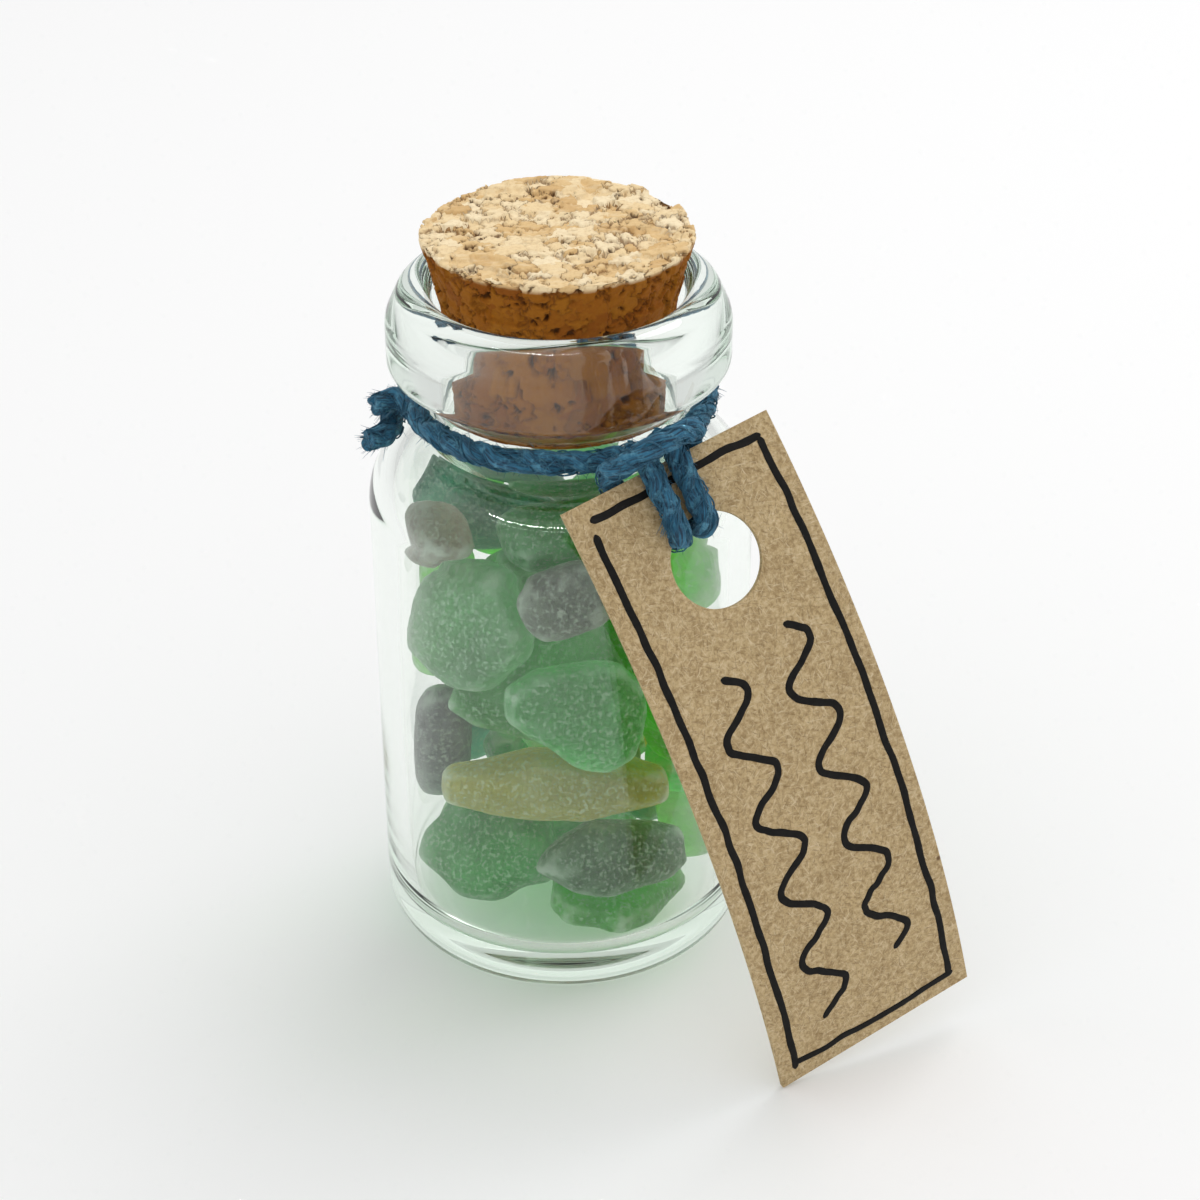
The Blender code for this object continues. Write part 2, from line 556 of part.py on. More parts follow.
def build_cord(frame, made):
    """The neck loop in two halves, each from the hitch to its own tail at the knot, and the hitch itself."""
    d = CORD_DIAMETER
    knot = KNOT_AZIMUTH_DEG
    reach = RING_RADIUS + 0.45 * d
    leg, _, joint_out, joint_up = strand_places()
    middle = HOLE_OFF_CENTRE
    ends = {}
    for side in (-1, 1):
        ends[side] = [
            frame.at(middle + side * leg * 1.10, joint_out - 1.12 * d, joint_up - (0.04 + 0.08 * side) * d),
            frame.at(middle + side * leg, joint_out - 0.52 * d, joint_up - (0.02 + 0.04 * side) * d),
            frame.at(middle + side * leg, joint_out - 0.70 * JOINT_GAP, joint_up),
        ]
    front = ends[-1][::-1] + [ring_point(a) for a in np.linspace(TAG_SIDE_DEG - 16, knot - 360 + 12, 14)]
    front += [
        ring_point(knot - 360 + 2, RING_RADIUS + 0.10 * d, RING_Z + 0.04 * d),
        ring_point(knot - 360 - 4, RING_RADIUS + 0.55 * d, RING_Z + 0.04 * d),
        ring_point(knot - 360 - 3, RING_RADIUS + 0.55 * d + 0.50 * TAIL_LENGTH, RING_Z),
        ring_point(knot - 360 - 1, RING_RADIUS + 0.30 * d + TAIL_LENGTH, RING_Z - 0.05 * d),
    ]
    back = ends[1][::-1] + [ring_point(a) for a in np.linspace(TAG_SIDE_DEG + 19, knot - 36, 20)]
    back += [
        ring_point(knot - 24, RING_RADIUS + 0.30 * d, RING_Z - 0.30 * d),
        ring_point(knot - 12, reach + 0.30 * d, RING_Z - 0.95 * d),
        ring_point(knot - 2, reach + 0.55 * d, RING_Z - 1.22 * d),
        ring_point(knot + 4, reach + 0.40 * d + 0.50 * TAIL_LENGTH, RING_Z - 1.20 * d),
        ring_point(knot + 7, reach + 0.35 * d + TAIL_LENGTH, RING_Z - 1.12 * d),
    ]
    step = CORD_STEP_share * d * 1.4
    tube("neck_cord_front", smooth_path(front, step), d, made)
    tube("neck_cord_back", smooth_path(back, step), d, made)
    hinge = frame.at(middle, joint_out, joint_up)
    route = hitch_path(frame)
    tube("tag_hitch", route, HITCH_CORD_DIAMETER, made, hinge)
    print("hitch: least gap to itself %.2f mm" % (1000 * least_gap(route, HITCH_CORD_DIAMETER)))
    print("hinge at", [round(1000 * x, 3) for x in hinge], "axis", [round(x, 4) for x in frame.w])
    return hinge


def pebble_shape(row):
    """Points of one tumbled pebble about its own middle, in shares of the inner radius, and its faces."""
    face_deg, rise_deg, roll_deg, long, wide, thick, corners, pointed = row[3:11]
    normal_turn = math.radians(face_deg)
    rise = math.radians(rise_deg)
    roll = math.radians(roll_deg)
    normal = Vector(
        (math.cos(rise) * math.cos(normal_turn), math.cos(rise) * math.sin(normal_turn), math.sin(rise))
    )
    across = Vector((-math.sin(normal_turn), math.cos(normal_turn), 0))
    up = normal.cross(across)
    first = across * math.cos(roll) + up * math.sin(roll)
    second = up * math.cos(roll) - across * math.sin(roll)
    phase = roll_deg + 2.3 * face_deg
    points = []
    for layer in range(PEBBLE_LAYERS):
        height = -1 + 2 * (layer + 0.5) / PEBBLE_LAYERS
        lift = math.copysign(abs(height) ** 0.85, height)
        inset = (1 - abs(height) ** 3.2) ** 0.5
        for i in range(PEBBLE_SIDES):
            turn = 2 * math.pi * i / PEBBLE_SIDES
            reach = 1 + pointed * math.cos(corners * turn + math.radians(phase))
            reach += 0.5 * pointed * math.cos(2 * turn + math.radians(1.7 * phase))
            reach *= inset / (1 + 1.2 * pointed)
            point = first * (long / 2 * reach * math.cos(turn)) + second * (wide / 2 * reach * math.sin(turn))
            points.append(point + normal * (thick / 2 * lift / 0.86))
    faces = []
    for layer in range(PEBBLE_LAYERS - 1):
        for i in range(PEBBLE_SIDES):
            j = (i + 1) % PEBBLE_SIDES
            low = layer * PEBBLE_SIDES
            high = low + PEBBLE_SIDES
            faces.append((low + i, low + j, high + j, high + i))
    for low, sense in ((0, -1), ((PEBBLE_LAYERS - 1) * PEBBLE_SIDES, 1)):
        cap = len(points)
        middle = sum(points[low : low + PEBBLE_SIDES], Vector()) / PEBBLE_SIDES
        points.append(middle + normal * (sense * 0.03 * thick))
        for i in range(PEBBLE_SIDES):
            faces.append((low + i, low + (i + 1) % PEBBLE_SIDES, cap))
    return np.array([tuple(p) for p in points]), faces


def heap_directions():
    """Evenly spread directions, for telling how far apart two pebbles are."""
    count = 200
    index = np.arange(count) + 0.5
    z = 1 - 2 * index / count
    turn = index * math.pi * (3 - math.sqrt(5))
    flat = np.sqrt(1 - z * z)
    return np.stack([flat * np.cos(turn), flat * np.sin(turn), z], 1)


def wall_push(points, gap, top, ceiling, low_corner, high_corner):
    """How far to move a pebble so that every point is inside the space, in shares of the inner radius."""
    flat = np.hypot(points[:, 0], points[:, 1])
    z = points[:, 2]
    limit = np.full(len(points), 1 - gap)
    low = np.clip(low_corner - z, 0, low_corner)
    below = z < low_corner
    corner = np.sqrt(np.maximum((low_corner - gap) ** 2 - low**2, 0))
    limit = np.where(below, 1 - low_corner + corner, limit)
    high_start = top - high_corner
    rise = np.clip(z - high_start, 0, high_corner - gap)
    above = z > high_start
    limit = np.where(above, 1 - high_corner + np.sqrt((high_corner - gap) ** 2 - rise**2), limit)
    push = np.zeros(3)
    worst = int(np.argmax(flat - limit))
    over = flat[worst] - limit[worst]
    if over > 0:
        push[:2] -= points[worst, :2] / max(flat[worst], 1e-9) * over
    if z.min() < gap:
        push[2] += gap - z.min()
    if z.max() > ceiling - gap:
        push[2] -= z.max() - ceiling + gap
    return push


def settle_heap(shapes, centres, gap, inside):
    """Moves the pebbles apart until none touches another or the glass, then lowers each onto what is under it."""
    ways = heap_directions()
    spans = [shape @ ways.T for shape in shapes]
    high = [span.max(0) for span in spans]
    low = [span.min(0) for span in spans]
    reach = [float(np.linalg.norm(shape, axis=1).max()) for shape in shapes]
    aims = np.array(centres)
    where = aims.copy()

    def space(i, j, here):
        offset = where[j] - here
        if float(offset @ offset) > (reach[i] + reach[j] + gap) ** 2:
            return None, gap
        apart = ways @ offset + low[j] - high[i]
        best = int(np.argmax(apart))
        return ways[best], float(apart[best])

    for turn in range(HEAP_ROUNDS):
        pull = HEAP_PULL_share * max(0, 1 - turn / (HEAP_ROUNDS * 0.4))
        where += (aims - where) * pull
        worst = gap
        for i in range(len(shapes)):
            for j in range(i + 1, len(shapes)):
                way, apart = space(i, j, where[i])
                worst = min(worst, apart)
                if apart < gap:
                    move = way * ((gap - apart) * 0.55 + gap / 40)
                    where[i] -= move
                    where[j] += move
        for i, shape in enumerate(shapes):
            where[i] += wall_push(shape + where[i], gap, *inside)
        if not pull and worst > 0.96 * gap:
            break
    step = gap / 4
    for _ in range(HEAP_DROPS):
        for i in np.argsort(where[:, 2]):
            lower = where[i] - (0, 0, step)
            if np.linalg.norm(wall_push(shapes[i] + lower, gap, *inside)) > step / 50:
                continue
            if all(j == i or space(i, j, lower)[1] >= gap for j in range(len(shapes))):
                where[i] = lower
    return where


def heap_faults(shapes, where, gap, inside):
    """The least space left between pebbles, and the worst push still wanted by the glass."""
    ways = heap_directions()
    least = 1.0
    wall = 0.0
    for i, shape in enumerate(shapes):
        wall = max(wall, float(np.linalg.norm(wall_push(shape + where[i], gap, *inside))))
        for j in range(i + 1, len(shapes)):
            first = shape + where[i]
            second = shapes[j] + where[j]
            apart = ((second @ ways.T).min(0) - (first @ ways.T).max(0)).max()
            least = min(least, float(apart))
    return least, wall


def build_sea_glass(finishes):
    heap_top = min(CAVITY_TOP_Z, CORK_BOTTOM_Z - HEADSPACE)
    unit = min(INNER_RADIUS, (heap_top - CAVITY_FLOOR_Z) / HEAP_HEIGHT_share)
    heights = ((z - CAVITY_FLOOR_Z) / unit for z in (CAVITY_TOP_Z, heap_top))
    gap = CLEARANCE / unit
    inside = (*heights, INNER_CORNER_RADIUS / unit, (SHOULDER_RADIUS - WALL_THICKNESS) / unit)
    shapes = []
    centres = []
    for row in PEBBLES_shares:
        points, faces = pebble_shape(row)
        turn = math.radians(row[0])
        shapes.append(points)
        centres.append((row[1] * math.cos(turn), row[1] * math.sin(turn), row[2] * HEAP_AIM_share))
    where = settle_heap(shapes, centres, gap, inside)
    least, wall = heap_faults(shapes, where, gap, inside)
    print("heap: least gap %.3f mm, glass wants %.3f mm" % (1000 * unit * least, 1000 * unit * wall))
    for number, (row, shape, centre) in enumerate(zip(PEBBLES_shares, shapes, where), 1):
        points = shape * unit
        obj = mesh_object("sea_glass_%02d" % number, points, faces, finishes[row[11]])
        obj.location = Vector(centre * unit) + Vector((0, 0, CAVITY_FLOOR_Z))


def main():
    clear_scene()
    glass = material("clear_glass", (0.92, 0.95, 0.94, 1.0), 0.02, transmission=1.0)
    cork = material("agglomerated_cork", (0.62, 0.46, 0.30, 1.0), 0.85)
    cord = material("blue_cotton_cord", (0.06, 0.16, 0.42, 1.0), 0.8)
    card = material("kraft_card", (0.55, 0.40, 0.25, 1.0), 0.9)
    finishes = {}
    for name, colour in GLASS_COLOURS.items():
        finishes[name] = material("sea_glass_" + name, colour, 0.55, transmission=0.6)
    revolve("bottle", bottle_profile(), BOTTLE_SEGMENTS, glass)
    crumble(revolve("cork_stopper", cork_profile(), CORK_SEGMENTS, cork))
    frame = standing_tag()
    hinge = build_cord(frame, cord)
    build_tag(frame, card, hinge)
    build_sea_glass(finishes)


main()
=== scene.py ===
# %% [markdown]
# # A corked bottle of sea glass
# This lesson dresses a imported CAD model: a small glass bottle with a cork, filled with beach pebbles of glass,
# with a card tag on a blue cord. The model comes first as a fixed frame, so every piece made here has its
# place already. Lengths are metres, Z is up, and the camera stands on the -Y side.

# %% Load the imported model
import json
import math
import random

import bmesh
import bpy
import numpy as np
from mathutils import Matrix, Vector, noise
from mathutils.kdtree import KDTree

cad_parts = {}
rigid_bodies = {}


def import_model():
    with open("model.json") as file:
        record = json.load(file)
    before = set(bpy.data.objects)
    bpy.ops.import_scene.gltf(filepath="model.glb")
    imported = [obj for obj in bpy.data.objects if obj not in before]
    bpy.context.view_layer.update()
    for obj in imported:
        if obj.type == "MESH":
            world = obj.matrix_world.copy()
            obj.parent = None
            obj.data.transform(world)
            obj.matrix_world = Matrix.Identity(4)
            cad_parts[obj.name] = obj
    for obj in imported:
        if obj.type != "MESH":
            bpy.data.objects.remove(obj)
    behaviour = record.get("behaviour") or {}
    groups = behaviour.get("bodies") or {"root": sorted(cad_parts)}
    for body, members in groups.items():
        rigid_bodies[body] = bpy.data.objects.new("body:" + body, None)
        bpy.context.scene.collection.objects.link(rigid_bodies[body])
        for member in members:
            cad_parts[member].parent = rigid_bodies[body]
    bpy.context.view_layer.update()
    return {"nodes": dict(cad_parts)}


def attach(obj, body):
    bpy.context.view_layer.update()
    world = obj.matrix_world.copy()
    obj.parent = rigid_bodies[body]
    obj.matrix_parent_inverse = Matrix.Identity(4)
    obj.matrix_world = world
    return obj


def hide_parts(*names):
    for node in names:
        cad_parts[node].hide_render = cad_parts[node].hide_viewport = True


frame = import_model()
for old in [o for o in bpy.data.objects if o.name in ("Cube", "Light", "Camera")]:
    bpy.data.objects.remove(old)

# %% [markdown]
# ## Small helpers
# A colour is written as an sRGB code, and shaders want linear light, so one function turns it. Another
# adds a node with its settings and its links, for shaders and geometry alike, which keeps each tree short:
# values go to the inputs in order, and a node given as a value means its output.


# %% Colours and nodes
def srgb(code):
    """The linear colour of an sRGB code such as "#c8a26b"."""
    parts = [int(code[i : i + 2], 16) / 255 for i in (1, 3, 5)]
    return tuple(p / 12.92 if p <= 0.04045 else ((p + 0.055) / 1.055) ** 2.4 for p in parts) + (1.0,)


MATH, VECTOR, RANGE = "ShaderNodeMath", "ShaderNodeVectorMath", "ShaderNodeMapRange"
NOISE, MIX, SPLIT = "ShaderNodeTexNoise", "ShaderNodeMix", "ShaderNodeSeparateXYZ"


def add(tree, kind, *values, into=None, **settings):
    """Adds a node. Values fill its inputs in order, or by name with into."""
    made = tree.nodes.new(kind)
    for name, value in settings.items():
        setattr(made, name, value)
    pairs = list(zip([socket for socket in made.inputs if socket.enabled], values))
    pairs += [(made.inputs[name], value) for name, value in (into or {}).items()]
    for socket, value in pairs:
        if isinstance(value, bpy.types.Node):
            value = next(output for output in value.outputs if output.enabled)
        if isinstance(value, bpy.types.NodeSocket):
            tree.links.new(value, socket)
        else:
            socket.default_value = value
    return made


def chain(tree, kind, value, *steps):
    """Sends a value through one node after another. Each step is an operation and its other values."""
    for operation, *others in steps:
        value = add(tree, kind, value, *others, operation=operation)
    return value


def new_material(name, **values):
    """A material with its tree and its Principled shader, whose inputs are named with _ for a space."""
    made = bpy.data.materials.new(name)
    made.use_nodes = True
    shader = made.node_tree.nodes["Principled BSDF"]
    for label, value in values.items():
        shader.inputs[label.replace("_", " ")].default_value = value
    return made, made.node_tree, shader


def dress(tree, shader, tone, height, strength, distance):
    """Gives a shader its colour, and a bump from a height."""
    bump = add(tree, "ShaderNodeBump", into={"Strength": strength, "Distance": distance, "Height": height})
    tree.links.new(tone.outputs[2], shader.inputs["Base Color"])
    tree.links.new(bump.outputs[0], shader.inputs["Normal"])


def clear_inside(tree, shader, pane, tint, density):
    """Tints a glass by its depth. Lamps and the floor's glow go straight through a plain pane in its place."""
    path = add(tree, "ShaderNodeLightPath")
    let_by = add(tree, MATH, path.outputs["Is Shadow Ray"], path.outputs["Is Diffuse Ray"], operation="MAXIMUM")
    both = add(tree, "ShaderNodeMixShader", let_by, shader, add(tree, "ShaderNodeBsdfTransparent", pane))
    inside = add(tree, "ShaderNodeVolumeAbsorption", tint, density)
    tree.links.new(both.outputs[0], tree.nodes["Material Output"].inputs["Surface"])
    tree.links.new(inside.outputs[0], tree.nodes["Material Output"].inputs["Volume"])


# %% Objects and meshes
def new_object(name, data):
    """An object in the scene."""
    made = bpy.data.objects.new(name, data)
    bpy.context.scene.collection.objects.link(made)
    return made


def mesh_piece(name, points, faces, material=None, edges=()):
    """A new mesh object from plain lists."""
    mesh = bpy.data.meshes.new(name)
    mesh.from_pydata([tuple(p) for p in points], list(edges), [tuple(f) for f in faces])
    mesh.update()
    if material:
        mesh.materials.append(material)
    return new_object(name, mesh)


def smooth(piece):
    """Shades a piece as one round surface."""
    piece.data.polygons.foreach_set("use_smooth", [True] * len(piece.data.polygons))
    piece.data.update()


def outward(piece):
    """Merges doubles and turns every face of a closed piece to the outside."""
    whole = bmesh.new()
    whole.from_mesh(piece.data)
    bmesh.ops.remove_doubles(whole, verts=whole.verts, dist=1e-7)
    bmesh.ops.recalc_face_normals(whole, faces=whole.faces)
    whole.to_mesh(piece.data)
    whole.free()


def modify(piece, kind, **settings):
    """Puts a modifier on a piece."""
    made = piece.modifiers.new(kind, kind)
    for name, value in settings.items():
        setattr(made, name, value)


def settle(piece):
    """Turns the evaluated piece into a plain mesh and takes its modifiers off."""
    graph = bpy.context.evaluated_depsgraph_get()
    old = piece.data
    whole = piece.evaluated_get(graph)
    mesh = bpy.data.meshes.new_from_object(whole, preserve_all_data_layers=True, depsgraph=graph)
    piece.modifiers.clear()
    piece.data = mesh
    bpy.data.meshes.remove(old)
    mesh.name = piece.name
    return piece


# %% [markdown]
# ## Geometry Nodes helpers
# Each tree gets named inputs for its sizes, so that a reader can turn them like knobs. A modifier stores such
# a value under the socket's identifier, which is why the names are looked up first. A tree ends by making its
# instances real and giving them their finish.


# %% Start a tree, end it and run it
def new_tree(name, sizes):
    """An empty geometry tree with a mesh in, a mesh out and named inputs with their first values."""
    tree = bpy.data.node_groups.new(name, "GeometryNodeTree")
    tree.is_modifier = True
    tree.interface.new_socket("Geometry", in_out="INPUT", socket_type="NodeSocketGeometry")
    tree.interface.new_socket("Geometry", in_out="OUTPUT", socket_type="NodeSocketGeometry")
    kinds = {int: "NodeSocketInt", float: "NodeSocketFloat", bpy.types.Material: "NodeSocketMaterial"}
    for label, value in sizes.items():
        socket = tree.interface.new_socket(label, in_out="INPUT", socket_type=kinds[type(value)])
        socket.default_value = value
    return tree, tree.nodes.new("NodeGroupInput").outputs


def end_tree(tree, geometry, finish):
    """Makes instances real and gives the result its finish."""
    real = add(tree, "GeometryNodeRealizeInstances", geometry)
    finished = add(tree, "GeometryNodeSetMaterial", real, into={"Material": finish})
    add(tree, "NodeGroupOutput", finished)


def run_tree(piece, tree, **sizes):
    """Runs a tree on a piece and keeps the result as a plain mesh."""
    modifier = piece.modifiers.new(tree.name, "NODES")
    modifier.node_group = tree
    known = {item.name: item.identifier for item in tree.interface.items_tree if item.in_out == "INPUT"}
    for label, value in sizes.items():
        modifier[known[label.replace("_", " ")]] = value
    return settle(piece)


# %% [markdown]
# ## Camera
# The photo was taken from a little above with a long lens. The angles below come from matching the
# bottle's round outlines: 31.5 degrees down, an 83.5 mm lens on a 36 mm sensor, and a small turn, tilt and roll.

# %% Camera
DOWN, YAW, PITCH, ROLL = (math.radians(a) for a in (31.52, 0.77, 0.441, -0.792))
AWAY, LOOK_AT = 0.17945, Vector((0, 0, 0.022))
LENS_MM, SENSOR_MM, NEAREST = 83.5, 36, 0.01

into = Vector((0, math.cos(DOWN), -math.sin(DOWN)))
right = Vector((1, 0, 0))
up = right.cross(into)
place = LOOK_AT - into * AWAY
into, right = into * math.cos(YAW) + right * math.sin(YAW), right * math.cos(YAW) - into * math.sin(YAW)
into, up = into * math.cos(PITCH) + up * math.sin(PITCH), up * math.cos(PITCH) - into * math.sin(PITCH)
right, up = right * math.cos(ROLL) + up * math.sin(ROLL), up * math.cos(ROLL) - right * math.sin(ROLL)

camera = new_object("camera", bpy.data.cameras.new("camera"))
camera.matrix_world = Matrix.Translation(place) @ Matrix((right, up, -into)).transposed().to_4x4()
camera.data.lens, camera.data.sensor_width, camera.data.clip_start = LENS_MM, SENSOR_MM, NEAREST
bpy.context.scene.camera = camera
bpy.context.scene.view_settings.view_transform = "Standard"
print("camera at", [round(c, 4) for c in place])

# %% [markdown]
# ## The numbers shared with the CAD model
# The bottle, the cork, the cords and the card are drawn again here with far more facets, so the script repeats
# the lengths that shape them: sizes of single pieces first, then the spaces between them, then a few shares of
# the cord's thickness.

# %% Shared lengths
BODY_R, GLASS_H, WALL, FLOOR = 0.0120, 0.0462, 0.0015, 0.0030
HEEL_R, INNER_CORNER_R, SHOULDER_R = 0.0036, 0.0022, 0.0049
NECK_R, NECK_FILLET, LIP_R, LIP_H, LIP_EDGE = 0.00805, 0.0006, 0.01053, 0.00694, 0.0012
LIP_FACE_TOP, LIP_FACE_BOTTOM, LIP_TOP_ROUND, LIP_LOW_ROUND = 0.00266, 0.00466, 0.0021, 0.00095
BORE_R, BORE_TAPER = 0.00715, 0.0004
CORK_H, CORK_LOW_R, CORK_TOP_R, CORK_OUT = 0.0115, 0.0065, 0.00835, 0.0033
CRUMB_SPACING, CRUMB_STEP = 0.0028, 0.00030
CORD_D, HITCH_D, TAIL, KNOT_AT = 0.0014, 0.0011, 0.0019, 187.0
CARD_W, CARD_L, CARD_T, CARD_BOW = 0.0143, 0.0407, 0.00035, 0.0684
CARD_SIDE, CARD_TURN, CARD_SPIN, CARD_OFF = -58.1, 6.7, 13.1, 0.0024
HOLE_D, HOLE_DOWN, HOLE_SIDE = 0.0058, 0.0036, 0.00025
GAP, STRAND_GAP, JOINT_GAP, TABLE_GAP = 0.0003, 0.00045, 0.0005, 0.0001
NECK_BAND_share, RING_HEIGHT_share, CARD_TOP_share = 2.05, 0.525, 0.27

lip_under = GLASS_H - LIP_H
shoulder_r = BODY_R - SHOULDER_R
neck_band = NECK_BAND_share * CORD_D
shoulder_z = lip_under - neck_band - math.sqrt(SHOULDER_R**2 - (NECK_R - shoulder_r) ** 2)
bore_low = shoulder_z + SHOULDER_R - WALL
mouth_z = GLASS_H - LIP_EDGE
cork_low, cork_top = GLASS_H + CORK_OUT - CORK_H, GLASS_H + CORK_OUT
ring_r = NECK_R + GAP + CORD_D / 2
ring_z = lip_under - neck_band * RING_HEIGHT_share + CORD_D / 2
print("neck ring: radius %.2f mm at height %.2f mm" % (1000 * ring_r, 1000 * ring_z))


# %% [markdown]
# ## A smooth path for cords
# A cord bends evenly through the places that it passes. A Catmull-Rom curve goes through every point given
# to it, and centripetal spacing keeps it from making little loops where the points lie close together.


# %% Smooth path
def smooth_path(controls, step):
    """Even points along a smooth curve through every control point."""
    held = [Vector(p) for p in controls]
    held = [held[0] * 2 - held[1]] + held + [held[-1] * 2 - held[-2]]
    dense = []
    for a, b, c, d in zip(held, held[1:], held[2:], held[3:]):
        k = [0.0]
        for p, q in ((a, b), (b, c), (c, d)):
            k.append(k[-1] + max((q - p).length, step / 8) ** 0.5)
        for i in range(24):
            t = k[1] + (k[2] - k[1]) * i / 24
            spans = ((a, b, k[0], k[1]), (b, c, k[1], k[2]), (c, d, k[2], k[3]))
            ab, bc, cd = ((p * (v - t) + q * (t - u)) / (v - u) for p, q, u, v in spans)
            one = (ab * (k[2] - t) + bc * (t - k[0])) / (k[2] - k[0])
            two = (bc * (k[3] - t) + cd * (t - k[1])) / (k[3] - k[1])
            dense.append((one * (k[2] - t) + two * (t - k[1])) / (k[2] - k[1]))
    dense.append(held[-2])
    walked = np.cumsum([0.0] + [(q - p).length for p, q in zip(dense, dense[1:])])
    marks = np.linspace(0, walked[-1], max(2, round(walked[-1] / step)) + 1)
    table = np.array([tuple(p) for p in dense])
    return np.stack([np.interp(marks, walked, table[:, axis]) for axis in range(3)], 1)


def ring_point(turn_deg, radius=ring_r, z=ring_z):
    """A point beside the neck, by its turn round the bottle."""
    turn = math.radians(turn_deg)
    return Vector((radius * math.cos(turn), radius * math.sin(turn), z))


# %% [markdown]
# ## Where the card hangs
# The card is a flat strip that was bent to a slight bow. Drawing it flat and bending each point afterwards
# means that the fibres, the pen lines and the cord that passes through it all share one simple set of
# coordinates: across the card, out from its face, and up from its top edge.


# %% The bent card's coordinates
class Card:
    """The bowed card, leaned out by an angle."""

    def __init__(self, lean_deg):
        side = math.radians(CARD_SIDE)
        reach = ring_r + CARD_OFF
        self.top = Vector((reach * math.cos(side), reach * math.sin(side), ring_z + CARD_TOP_share * CORD_D))
        turn = math.radians(CARD_SIDE + 90 - CARD_TURN)
        lean = math.radians(lean_deg)
        wide = Vector((math.cos(turn), math.sin(turn), 0))
        out = Vector((math.sin(turn), -math.cos(turn), 0))
        down = out * math.sin(lean) - Vector((0, 0, 1)) * math.cos(lean)
        spin = -math.radians(CARD_SPIN)
        self.w = wide * math.cos(spin) + down * math.sin(spin)
        middle = down * math.cos(spin) - wide * math.sin(spin)
        inward = self.w.cross(middle)
        half_bow = CARD_L / CARD_BOW / 2
        self.t = middle * math.cos(half_bow) - inward * math.sin(half_bow)
        self.n = inward * math.cos(half_bow) + middle * math.sin(half_bow)

    def at(self, across, out, up):
        """A point by its place across the card, out from its middle surface and up from its top edge."""
        bend = -up / CARD_BOW
        run = self.t * math.sin(bend) + self.n * (1 - math.cos(bend))
        normal = self.n * math.cos(bend) - self.t * math.sin(bend)
        return self.top + run * CARD_BOW + self.w * across - normal * out


# The lean is the one at which the lower corner stands just clear of the table, found by halving.
low, high = 5.0, 75.0
for _ in range(40):
    lean = (low + high) / 2
    corner = Card(lean).at(-CARD_W / 2, -CARD_T / 2, -CARD_L)
    low, high = (lean, high) if corner.z < TABLE_GAP else (low, lean)
card = Card(high)
print("card leans %.1f degrees" % high)

# %% [markdown]
# ## Blue cord
# The cord is cotton: three plies laid round each other, each of them a loose bundle of fibres, dyed blue and a
# little waxed. It is one cord on the real bottle. Here the neck loop and the hitch at the card are two
# pieces, because the loop turns with the neck and the hitch swings with the card. Cotton gives the eye a
# dull, dark blue with a pale bloom where the fibres stand off.

# %% Cord finish
FIBRES_PER_M = 800.0
cord_finish, tree, shader = new_material(
    "waxed_cotton_cord", Roughness=0.75, Sheen_Weight=0.45, Sheen_Roughness=0.5, Sheen_Tint=srgb("#7fb2c8")
)
# Fibres run along each ply, so the noise is squeezed round the ply and stretched along it.
around = add(tree, "ShaderNodeAttribute", attribute_name="around").outputs["Vector"]
along = add(tree, "ShaderNodeAttribute", attribute_name="along").outputs["Fac"]
lifted = add(tree, MATH, along, FIBRES_PER_M, operation="MULTIPLY")
lifted = add(tree, "ShaderNodeCombineXYZ", 0.0, 0.0, lifted)
ply_place = add(tree, VECTOR, around, (3.4, 3.4, 3.4), lifted, operation="MULTIPLY_ADD")
fibre = add(tree, NOISE, ply_place, 1.0, 4.0, 0.75)
where = add(tree, "ShaderNodeTexCoord").outputs["Object"]
patch = add(tree, NOISE, where, 1500.0, 3.0, 0.7)
deep = add(tree, RANGE, fibre, 0.38, 0.60, interpolation_type="SMOOTHSTEP")
# Paler patches placed at random are painted highlight on the fibres, laid over the dye.
worn = add(tree, RANGE, patch, 0.50, 0.72, interpolation_type="SMOOTHSTEP")
dyed = add(tree, MIX, deep, srgb("#092a42"), srgb("#2a6f90"), data_type="RGBA")
dyed = add(tree, MIX, worn, dyed, srgb("#5795af"), data_type="RGBA")
dress(tree, shader, dyed, fibre, 0.9, 0.00012)

# %% [markdown]
# A tree winds the plies: it copies the route once for each ply and pushes every copy off the middle by a turning
# angle. Noise along the way makes a ply swell, thin and wander, as spun cotton does. The same tree run again
# with many thin strands lays single fibres over the plies.

# %% Tree that lays plies round a route
ply_sizes = {
    "Plies": 3,
    "Sides": 14,
    "Cord Diameter": CORD_D,
    "Lay Length": 0.0036,
    "Ply Width": 0.30,
    "Ply Offset": 0.215,
    "Unevenness": 0.6,
    "Wander": 0.5,
    "Fuzz Depth": 0.00016,
    "Step": 0.00012,
    "Seed": 1,
    "Finish": cord_finish,
}
ply_tree, given = new_tree("Laid plies", ply_sizes)
curve = add(ply_tree, "GeometryNodeMeshToCurve", given["Geometry"])
even = add(ply_tree, "GeometryNodeResampleCurve", curve, into={"Length": given["Step"]}, mode="LENGTH")
copies = add(ply_tree, "GeometryNodeDuplicateElements", even, into={"Amount": given["Plies"]}, domain="SPLINE")
length = add(ply_tree, "GeometryNodeSplineParameter").outputs["Length"]
number = copies.outputs["Duplicate Index"]
share = add(ply_tree, MATH, number, given["Plies"], operation="DIVIDE")
seed = add(ply_tree, MATH, number, 17.3, given["Seed"], operation="MULTIPLY_ADD")
along = add(ply_tree, MATH, length, 700.0, seed, operation="MULTIPLY_ADD")
swell = add(ply_tree, NOISE, along, 1.0, 1.0, noise_dimensions="1D")
drift = add(ply_tree, NOISE, along, 0.6, 1.0, noise_dimensions="1D").outputs["Color"]
drift = add(ply_tree, SPLIT, drift)
drift_turn = chain(ply_tree, MATH, drift.outputs[0], ("SUBTRACT", 0.5), ("MULTIPLY", given["Wander"]))
turns = chain(ply_tree, MATH, length, ("DIVIDE", given["Lay Length"]), ("ADD", share), ("ADD", drift_turn))
